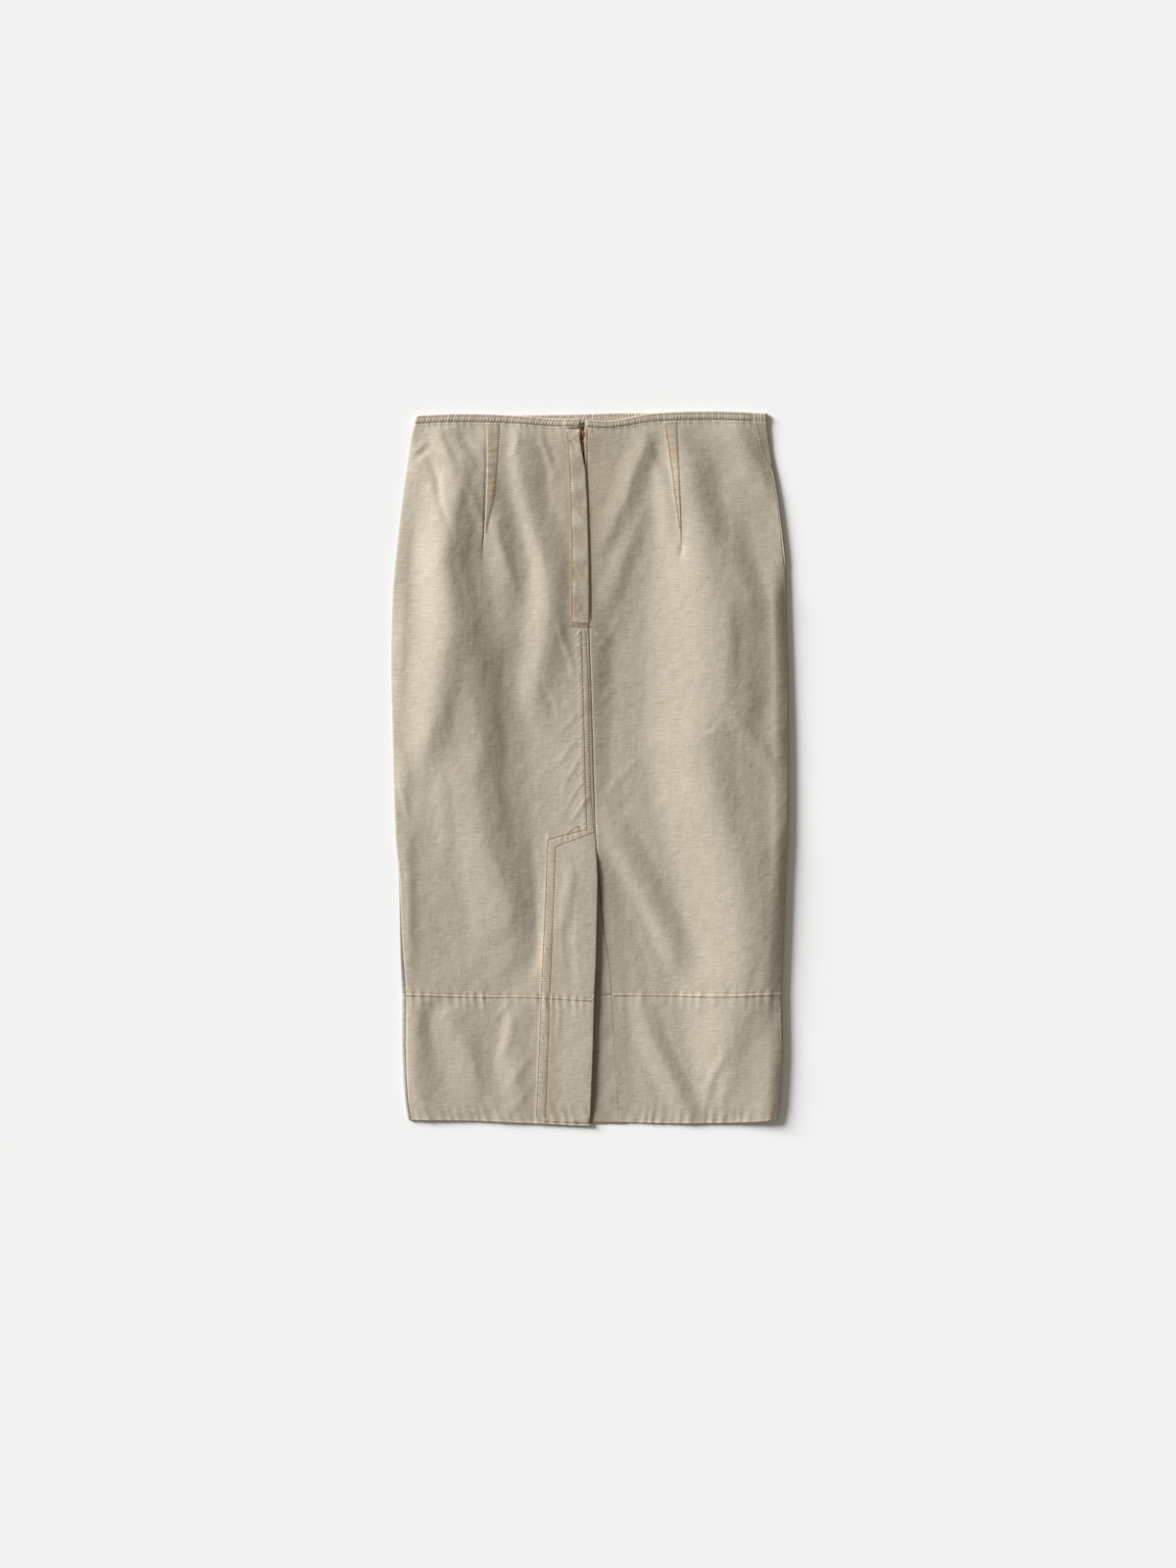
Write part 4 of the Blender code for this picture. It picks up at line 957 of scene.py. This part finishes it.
flatSheet("vent_facing", facingXs, facingLevels, facingTop, backTrim, plain)

# The underlay lies on the front in the open vent.
underlayHeight = 1.55
underlayLevels = steps((-253.8, -80, 2.5))
underlayBandLevels = steps((-395, -254.2, 2.5))


def underlayTop(x, y, level):
    # a few soft waves, with its own turned edge along the row of stitches
    wave = 0.22 * np.sin(y / 17.0 + x / 9.0) + 0.16 * np.sin(y / 7.3 - x / 5.0)
    wave *= 0.7 * easeStep(x, -40, -6) * easeStep(y, -84, -120)
    return underlayHeight + wave + channelDip(x, y, "underlay") * 0.5


def underlayPaint(x, y):
    # painted shade over the underlay in the vent, darkest under the overlapping edge
    left, right = (x - straightAlong(innerEdge[side], y) for side in (-1, 1))
    shade = 0.12 + 0.12 * np.exp(-np.clip(left + 0.6, 0, 99) / 2.2)
    return {"wear": 0.1 * mound(right + 3, 2.0), "yellow": 0.03, "fade": -shade}


underlayTrim = {**frontTrim, "hem": ((-60, -399.4), (60, -399.4))}
for name, levels in (("vent_underlay", underlayLevels), ("vent_underlay_hem_band", underlayBandLevels)):
    reach = straightAlong(innerEdge[1], levels) + 6
    xs = spread([np.full(levels.shape, -46.0), np.full(levels.shape, -4.0), reach], [16, 18])
    flatSheet(name, xs, levels, underlayTop, underlayTrim, underlayPaint, "canvas_underlay")


# The placket: a strip folded double, its left edge topstitched to the panel, its right fold free over the zip.
placket = {
    "thick": 1.15,
    "high": 0.55,
    "topDrop": 0.2,
    "crease": ((-9, 381, 0.2), (-15, 374, 0.3), (-24, 366, 0.15)),
}
placketLevels = steps((160, 164, 0.8), (164, 340, 1.8), (340, 383, 1.2))


def placketTop(x, y, level):
    fromLeft = x - straightAlong(placketLeft, y)
    fromRight = straightAlong(placketRight, y) - x
    rise = placket["high"] - placket["topDrop"] * easeStep(level, 377, 383)
    tuck = -0.26 * (1 - easeStep(fromLeft, -0.5, 3.0)) - 0.35 * (1 - easeStep(fromRight, -0.2, 1.6))
    puff = 0.2 * np.sin(y / 6.1 + 0.5 * np.sin(y / 17))
    puff *= easeStep(fromLeft, 0.5, 6) * easeStep(fromRight, 0.2, 5)
    which, _, _, value, away = nearLine(x, y, placket["crease"], 4.0)
    fold = np.zeros(x.shape)
    fold[which] = value * (1 - away) ** 2
    foot = -0.5 * (1 - easeStep(level, 159.5, 163))
    return backTop(-1, x, y, level) + rise + tuck + channelDip(x, y, "placket") * 1.3 + puff + fold + foot


def placketPaint(x, y):
    fromLeft = x - straightAlong(placketLeft, y)
    fromRight = straightAlong(placketRight, y) - x
    # pale along the fold edges and on the crests of the puckers: wear with painted highlights
    rubAndHighlight = 0.1 * mound(fromLeft - 3.0, 1.1) + 0.42 * mound(fromRight - 0.3, 1.2)
    rubAndHighlight += 0.25 * np.clip(np.sin(y / 6.1), 0, 1) * easeStep(fromLeft, 0.5, 3)
    return {"wear": np.clip(rubAndHighlight, 0, 1), "yellow": 0.2 + 0.55 * mound(fromLeft - 0.7, 0.9), "fade": 0.0}


placketY = trimmed(placketLevels, np.full(placketLevels.shape, -16.0), backTrim)
placketEdges = [straightAlong(line, placketY) for line in (placketLeft, placketRight)]
placketXs = spread([placketEdges[0], placketEdges[0] + 3, placketEdges[1] - 3, placketEdges[1]], [5, 10, 5])
thin = placket["thick"] * (0.12 + 0.88 * easeStep(placketXs - placketXs[:, :1], 0.5, 6.0))
flatSheet("zip_placket", placketXs, placketLevels, placketTop, backTrim, placketPaint, cloth=thin)

# The binding: a folded strip over the raw edges. Its section is (down from the edge, above the cloth held).
bindingSection = (
    (11.6, 0.02), (11.9, 0.06), (11.4, 0.14), (10.6, 0.24), (9.6, 0.34), (8.5, 0.4), (7.7, 0.6),
    (6.9, 0.78), (6.0, 0.9), (4.8, 0.96), (3.6, 0.9), (2.9, 0.8), (2.4, 0.62), (1.7, 0.78), (0.9, 0.78),
    (0.2, 0.4), (0.0, -0.3), (0.2, -0.95), (0.8, -1.3), (2.05, -1.24), (3.2, -1.42), (6.0, -1.5),
    (8.8, -1.4), (9.35, -1.26), (10.2, -1.4), (10.5, -1.1), (10.2, -0.78), (6.0, -0.74), (1.7, -0.72),
    (1.3, -0.3), (1.7, 0.04), (6.0, 0.03),
)


binding = {
    "pitch": 3.4,  # of its stitches
    "rows": (2.5, 8.3),  # of stitches, down from the edge
    "station": 0.9,  # between its sections
    "middle": 5.6,  # which a closed end draws in to
}


def bindingPiece(name, runs, trim, ends, extra):
    # runs are (side, arcs), ends says at which ends a rounded end shows, extra(x) is what lies under it
    down, above = np.array(bindingSection).T
    station = binding["station"]
    total = sum(len(arcs) for _, arcs in runs)
    held = mound(down - 2.4, 1.0) + mound(down - 8.5, 0.9)
    rings, rubsAndHighlights, shades, k = [], [], [], 0
    for side, arcs in runs:
        place = np.arange(k, k + len(arcs))[:, None] * station
        k += len(arcs)
        fromEnd = np.minimum(place if ends[0] else 99.0, (total - 1) * station - place if ends[1] else 99.0)
        close = np.sqrt(np.clip(1 - (1 - np.clip(fromEnd / 2.4, 0, 1)) ** 2, 0, 1))
        arc = arcs[:, None] + 0.0 * down
        wobble = 0.25 * np.sin(arc / 5.7) + 0.18 * np.sin(arc / 2.3 + 1.0)
        uneven = 0.6 + 0.4 * np.sin(arc / 13.0 + side) * np.sin(arc / 5.1)
        gather = 0.09 * np.sin(2 * math.pi * arc / 7.6 + 1.5 * np.sin(arc / 19))
        gather = (gather + 0.34 * np.sin(2 * math.pi * arc / binding["pitch"])) * uneven
        drawn = gather * (1 - 0.5 * np.clip(held, 0, 1))
        d = down + wobble * easeStep(down, 6, 11) * 0.7
        d = binding["middle"] + (d - binding["middle"]) * (0.72 + 0.28 * close)
        rise = above + np.where(above > 0.3, drawn, 0) - np.where(above < -1.2, drawn, 0)
        rise = np.where(above > 0.2, rise * (0.35 + 0.65 * close), rise)
        level = skirt["waist"] - d
        points, _ = raisedRing(side, arc, level, trim, lambda x, y: rise + np.where(above > 0.2, extra(x), 0))
        rings.append(settled(points))
        # the folded edges painted pale, partly wear and partly painted highlight over the shaded lower edge;
        # the gathers get painted highlights on their crests and painted shade in their troughs
        folds = 0.4 * mound(down - 0.3, 0.8) + 0.9 * mound(down - 11.5, 0.8) + 0.5 * mound(down - 10.3, 0.7)
        rubsAndHighlights.append(folds + np.clip(gather * 2.6, -0.25, 0.8))
        shades.append(-np.clip(-gather, 0, 0.4) * np.exp(-(((down - 5.2) / 3.6) ** 4)))
    points = np.concatenate(rings)
    n, m = points.shape[:2]
    index = np.arange(n * m).reshape(n, m)
    nextRow = np.roll(index, -1, axis=1)
    quads = np.stack([index[:-1], nextRow[:-1], nextRow[1:], index[1:]], axis=-1).reshape(-1, 4).tolist()
    caps = [index[0][::-1].tolist(), index[-1].tolist()]
    runDown = np.concatenate([[0], np.cumsum(np.hypot(np.diff(down), np.diff(above)))])
    cut = np.stack([np.repeat(np.arange(n) * station, m), np.tile(runDown, n)], axis=-1) * mm
    wear, fade = np.clip(np.concatenate(rubsAndHighlights), 0, 1), np.concatenate(shades)
    paint = {"wear": wear, "yellow": np.full((n, m), 0.12), "fade": fade}
    piece = newPiece(name, points, quads + caps, canvasFace, cut, paint, outward=True)
    strip = np.linalg.norm(np.diff(points[:, 0], axis=0), axis=-1).sum() * mm
    girth = np.linalg.norm(points[n // 2] - np.roll(points[n // 2], 1, axis=0), axis=-1).sum() * mm
    layCloth(piece, name, "canvas", strip, girth / 2, strip * girth / 2)


def arcRun(side, start, end):
    return side, np.linspace(start, end, max(3, int(abs(end - start) / binding["station"]) + 1))


waist = skirt["waist"]
seamAt = {side: float(smoothAlong(seamArc[side], waist)) for side in (-1, 1)}
leftEnd = float(arcOf(-1, -9.7, waist))
rightEnd = float(arcOf(1, -4.6, waist))
middleArc = {side: float(arcOf(side, 0.0, waist)) for side in (-1, 1)}


def overPlacket(x):
    return 0.75 * easeStep(x, -31, -26)


def noExtra(x):
    return 0.0 * x


leftRuns, rightRuns = [arcRun(-1, seamAt[-1], leftEnd)], [arcRun(1, rightEnd, seamAt[1])]
bindingPiece("waist_binding_back_left", leftRuns, backTrim, (False, True), overPlacket)
bindingPiece("waist_binding_back_right", rightRuns, backTrim, (True, False), noExtra)
frontEdge = {side: seamAt[side] - skirt["frontGap"] for side in (-1, 1)}
frontRuns = [arcRun(-1, frontEdge[-1], -middleArc[-1]), arcRun(1, -middleArc[1] + 1.0, frontEdge[1])]
bindingPiece("waist_binding_front", frontRuns, frontTrim, (False, False), noExtra)


# One stitch, modelled once: a short fat thread, pulled down at both ends.
bpy.ops.object.select_all(action="DESELECT")
bpy.ops.mesh.primitive_uv_sphere_add(segments=8, ring_count=5, radius=1.0, rotation=(0, math.pi / 2, 0))
stitchModel = bpy.context.object
bpy.ops.object.transform_apply(location=True, rotation=True, scale=True)
stitchPoints = np.array([v.co for v in stitchModel.data.vertices])
stitchFaces = [list(p.vertices) for p in stitchModel.data.polygons]
bpy.data.objects.remove(stitchModel)


def threadMaterial(name, colour):
    # cotton thread, dull, with a darker twist every few millimetres
    material, tree, shader = newMaterial(name)
    place = addNode(tree, "TexCoord", out="Object")
    uneven = addNode(tree, "TexNoise", {"Vector": place, "Scale": 250.0, "Detail": 2.0, "Roughness": 0.5})
    shade = addNode(tree, "Mix", {0: uneven, 6: srgb(colour, 0.72), 7: srgb(colour, 1.2)}, 2, data_type="RGBA")
    fillSockets(tree, shader, {"Base Color": shade, "Roughness": 0.8, "Specular IOR Level": 0.3})
    return material


tanThread = threadMaterial("tan thread", canvas["thread"])
redThread = threadMaterial("red-brown thread", canvas["redThread"])


def surfaceUnder(on, side, x, y):
    # the height of the cloth that a stitch lies on
    trim = frontTrim if on == "underlay" else backTrim
    level = np.asarray(y, dtype=float)
    for _ in range(5):
        level = level + y - trimmed(level, x, trim)
    if on == "placket":
        return placketTop(x, y, level)
    if on == "underlay":
        return underlayTop(x, y, level)
    return backTop(side, x, y, level)


def stitchRow(places, forward, up, length, wide=0.5):
    # copies of the stitch: middles, directions and ups in millimetres, one a row
    beside = np.cross(up, forward)
    shape = stitchPoints * np.array([length / 2, wide, 0.3])
    shape[:, 2] -= 0.16 * (stitchPoints[:, 0] ** 2)
    return places[:, None] + shape @ np.stack([forward, beside, up], axis=1)


def unit(vectors):
    return vectors / np.linalg.norm(vectors, axis=-1, keepdims=True)


threads = {}
for piece, on, pitch, path in stitchTable:
    line, along = finePath(path, 0.5)
    count = max(2, int(along[-1] / pitch))
    at = (np.arange(count) + 0.5) * along[-1] / count
    ends = []
    for step in (-0.9, 0.9):
        shake = 0.12 * np.sin(12.9 * np.arange(count) + 3.1 * at)
        x, y = np.interp(at + step, along, line[:, 0]) + shake, np.interp(at + step, along, line[:, 1])
        side = -1 if np.mean(x - straightAlong(innerEdge[-1], y)) < 0 else 1
        ends.append(settled(np.stack([x, y, surfaceUnder(on, side, x, y)], axis=-1)))
    forward = unit(ends[1] - ends[0])
    beside = unit(np.cross(forward, np.array([0, 0, 1.0])))
    up = np.cross(beside, forward)
    middle = (ends[0] + ends[1]) / 2 + up * 0.14
    threads.setdefault(piece, []).append(stitchRow(middle, forward, up, pitch * 0.76))


def bindingStitches(piece, side, arcs, trim, down, extra, face=0.95):
    # face is how far above the cloth the stitches lie, below 0 on the inner side
    spots = []
    for step in (-0.6, 0.0, 0.6):
        level = np.full(arcs.shape, skirt["waist"] - down)
        spot, normal = raisedRing(side, arcs + step, level, trim, lambda x, y: face + extra(x))
        spots.append(settled(spot))
    forward = unit(spots[2] - spots[0])
    stitch = stitchRow(spots[1], forward, normal * math.copysign(1, face), binding["pitch"] * 0.42, 0.75)
    threads.setdefault(piece, []).append(stitch)


pitch = binding["pitch"]
for down in binding["rows"]:
    arcs = np.arange(seamAt[-1] + 1, leftEnd - 2, pitch)
    bindingStitches("bindingThreadLeft", -1, arcs, backTrim, down, overPlacket)
    arcs = np.arange(rightEnd - 2, seamAt[1] + 1, -pitch)
    bindingStitches("bindingThreadRight", 1, arcs, backTrim, down, noExtra)
    for side in (-1, 1):
        arcs = np.arange(-middleArc[side], -8, pitch)
        bindingStitches("bindingThreadFront", side, arcs, frontTrim, down, noExtra, -1.28)


def copies(count, faces, size):
    # the faces of a shape with size points, for each of its copies
    return [[v + k * size for v in face] for k in range(count) for face in faces]


for name, parts in threads.items():
    points = np.concatenate(parts)
    material = redThread if name.startswith(("dartThreadLeft", "bindingThread")) else tanThread
    piece = newPiece(name, points, copies(len(points), stitchFaces, len(stitchPoints)), material)
    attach(piece, "skirt")
    print("made", name, len(points), "stitches")


def brassMaterial(name, dark, bright, smooth):
    # brass with a copper cast, dulled in patches of a few millimetres
    material, tree, shader = newMaterial(name)
    place = addNode(tree, "TexCoord", out="Object")
    patches = addNode(tree, "TexNoise", {"Vector": place, "Scale": 250.0, "Detail": 4.0, "Roughness": 0.6})
    shade = addNode(tree, "Mix", {0: patches, 6: srgb(dark), 7: srgb(bright)}, 2, data_type="RGBA")
    rough = addNode(tree, "Math", {0: patches, 1: 0.25, 2: smooth}, operation="MULTIPLY_ADD")
    fillSockets(tree, shader, {"Base Color": shade, "Metallic": 1.0, "Roughness": rough})
    return material


def tapeMaterial(name):
    # woven polyester tape, khaki, fine ribs along it
    material, tree, shader = newMaterial(name)
    place = addNode(tree, "TexCoord", out="Object")
    wave = {"Vector": place, "Scale": 500.0, "Distortion": 0.4}
    ribs = addNode(tree, "TexWave", wave, "Fac", bands_direction="X")
    shade = addNode(tree, "Mix", {0: ribs, 6: srgb("#6E6453"), 7: srgb("#8A7F6B")}, 2, data_type="RGBA")
    normal = addNode(tree, "Bump", {"Height": ribs, "Strength": 0.5, "Distance": 0.0001})
    fillSockets(tree, shader, {"Base Color": shade, "Roughness": 0.75, "Normal": normal})
    return material


brass = brassMaterial("aged copper-brass", "#8A5636", "#E2B27C", 0.24)
oldBrass = brassMaterial("oxidised brass", "#3E2C20", "#80603E", 0.42)
tape = tapeMaterial("zip tape")
for part, material in (("zip_top_stop", brass), ("zip_tape", tape)):
    for side in ("left", "right"):
        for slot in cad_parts[f"{part}_{side}"].material_slots:
            slot.material = material

zipParts = {
    "middle": -7.8,
    "pitch": 2.0,  # of the teeth on one side
    "bottom": 183.0,
    "top": 367.6,
    "tooth": (1.95, 1.0, 1.7),
    "sliderFoot": 369.3,
    "sliderHead": 379.3,
    "sliderLow": 3.84,
    "sliderTop": 5.04,
    "pivot": (-7.8, 374.0, 5.988),
    "tabLength": 20.0,
    "tabWidth": 2.8,
    "tabThick": 0.7,
    "lie": 4.0,  # degrees that the tab points down
}


def block(name, size, at, bevel, material, segments=2):
    # a bevelled box, its size and middle in millimetres
    bpy.ops.object.select_all(action="DESELECT")
    bpy.ops.mesh.primitive_cube_add(size=mm, location=[v * mm for v in at])
    piece = bpy.context.object
    piece.name = name
    piece.scale = size
    bpy.ops.object.transform_apply(location=True, rotation=True, scale=True)
    edge = piece.modifiers.new("edge", "BEVEL")
    edge.width = bevel * mm
    edge.segments = segments
    bpy.ops.object.modifier_apply(modifier=edge.name)
    bpy.ops.object.shade_smooth_by_angle(angle=math.radians(35))
    piece.data.materials.append(material)
    return piece


def joined(name, parts):
    bpy.ops.object.select_all(action="DESELECT")
    for part in parts:
        part.select_set(True)
    bpy.context.view_layer.objects.active = parts[0]
    bpy.ops.object.join()
    parts[0].name = name
    return parts[0]


def narrowed(piece, reach, share):
    # draws in the vertices below a height, as a slider's narrow end
    for vertex in piece.data.vertices:
        if vertex.co.y < reach * mm:
            vertex.co.x = zipParts["middle"] * mm + (vertex.co.x - zipParts["middle"] * mm) * share


# One tooth, modelled once, then copied up both sides of the zip.
tooth = block("tooth", zipParts["tooth"], (0, 0, 0), 0.22, oldBrass, 1)
toothPoints = np.array([v.co for v in tooth.data.vertices]) / mm
toothFaces = [list(p.vertices) for p in tooth.data.polygons]
bpy.data.objects.remove(tooth)
places = []
count = int((zipParts["top"] - zipParts["bottom"]) / zipParts["pitch"])
for side, shift in ((-1, 0.0), (1, zipParts["pitch"] / 2)):
    for k in range(count):
        y = zipParts["bottom"] + 0.6 + k * zipParts["pitch"] + shift
        places.append((zipParts["middle"] + side * 0.75, y, 2.4 + float(underside(y))))
points = toothPoints + np.array(places)[:, None]
toothFaces = copies(len(places), toothFaces, len(toothPoints))
teeth = newPiece("zipTeeth", points, toothFaces, oldBrass, smooth=False)
standFor(teeth, "zip_chain")
print("made zipTeeth", len(places), "teeth")

middle, foot, head = zipParts["middle"], zipParts["sliderFoot"], zipParts["sliderHead"]
plateMiddle = ((foot + head) / 2, (zipParts["sliderLow"] + zipParts["sliderTop"]) / 2)
plate = block("plate", (4.9, head - foot, 1.1), (middle, *plateMiddle), 0.4, brass, 3)
narrowed(plate, foot + 3.0, 0.78)
ridgeAt = (middle, plateMiddle[0] + 0.2, zipParts["sliderTop"] + 0.06)
ridge = block("ridge", (3.1, 8.2, 0.4), ridgeAt, 0.18, brass)
narrowed(ridge, foot + 3.0, 0.78)
pivotY, pivotZ = zipParts["pivot"][1], zipParts["pivot"][2]
posts = [(middle, pivotY + y, pivotZ - 0.25) for y in (-1.75, 2.15)]
bridge = [block("post", (1.0, 1.0, 2.5), at, 0.2, brass) for at in posts]
bar = block("bar", (1.05, 5.0, 0.66), (middle, pivotY + 0.2, pivotZ + 1.28), 0.26, brass, 3)
slider = joined("zipSlider", [plate, ridge, bar] + bridge)
standFor(slider, "zip_slider")

# The slim pull tab: a plate with a long eye, narrower in the middle, with a rounded tip.
length, width = zipParts["tabLength"], zipParts["tabWidth"]
tabAt = (middle, pivotY - length / 2 + 0.35, pivotZ)
tab = block("zipPullTab", (width, length, zipParts["tabThick"]), tabAt, 0.24, brass, 3)
eye = block("eye", (1.6, 3.3, 3.0), (middle, pivotY - 2.05, pivotZ), 0.4, brass, 3)
cut = tab.modifiers.new("eye", "BOOLEAN")
cut.operation = "DIFFERENCE"
cut.object = eye
bpy.context.view_layer.objects.active = tab
tab.select_set(True)
bpy.ops.object.modifier_apply(modifier=cut.name)
bpy.data.objects.remove(eye)
for vertex in tab.data.vertices:
    down = pivotY - vertex.co.y / mm
    share = 1 - 0.2 * float(easeStep(down, 4.4, 7.5)) + 0.16 * float(easeStep(down, 12, 17))
    vertex.co.x = middle * mm + (vertex.co.x - middle * mm) * share
bpy.ops.object.select_all(action="DESELECT")
tab.select_set(True)
bpy.context.view_layer.objects.active = tab
bpy.context.scene.cursor.location = [v * mm for v in zipParts["pivot"]]
bpy.ops.object.origin_set(type="ORIGIN_CURSOR")
tab.rotation_euler = (math.radians(zipParts["lie"]), 0, 0)
bpy.ops.object.transform_apply(location=True, rotation=True, scale=True)
standFor(tab, "zip_pull_tab", "pull_tab")
print("made zipSlider and zipPullTab")


# The surface under it, the low broad light from the upper left, and the pale surroundings.
bpy.ops.mesh.primitive_plane_add(size=8.0, location=(0, 0, 0))
floor = bpy.context.object
floor.name = "floor"
floorPaint, _, floorShader = newMaterial("white ground")
floorShader.inputs["Base Color"].default_value = (0.85, 0.85, 0.85, 1)
floorShader.inputs["Roughness"].default_value = 1.0
floorShader.inputs["Specular IOR Level"].default_value = 0.0
floor.data.materials.append(floorPaint)

light = {
    "elevation": 18.0,
    "azimuth": math.atan2(0.5, -0.87),
    "spread": 22.0,
    "level": 1.0435,
    "share": 0.79,  # of the light that the sun gives, the rest being the sky's
}
sunData = bpy.data.lights.new("low sun", "SUN")
sunData.angle = math.radians(light["spread"])
sunData.color = (0.98, 1.0, 1.03)
sunData.energy = light["share"] * light["level"] * math.pi / math.sin(math.radians(light["elevation"]))
sun = bpy.data.objects.new("low sun", sunData)
bpy.context.scene.collection.objects.link(sun)
sun.rotation_euler = (0, math.radians(90 - light["elevation"]), light["azimuth"])
world = bpy.data.worlds.new("pale surroundings")
world.use_nodes = True
sky = world.node_tree.nodes["Background"]
sky.inputs["Color"].default_value = (1.09, 1.0, 0.86, 1)
sky.inputs["Strength"].default_value = (1 - light["share"]) * light["level"]
bpy.context.scene.world = world
bpy.context.scene.view_settings.view_transform = "Standard"

view = {"at": (-0.0022, -0.0179), "high": 3.0, "tall": 1.76, "sensor": 36.0}  # metres, the sensor in mm
camera = bpy.data.objects.new("camera", bpy.data.cameras.new("camera"))
bpy.context.scene.collection.objects.link(camera)
camera.location = (*view["at"], view["high"])
camera.data.sensor_fit = "AUTO"
camera.data.sensor_width = view["sensor"]
camera.data.lens = view["sensor"] * view["high"] / view["tall"]
camera.data.clip_end = 20.0
bpy.context.scene.camera = camera

for piece, width, length, area in sheets:
    share = min(area, width * length * 0.999)
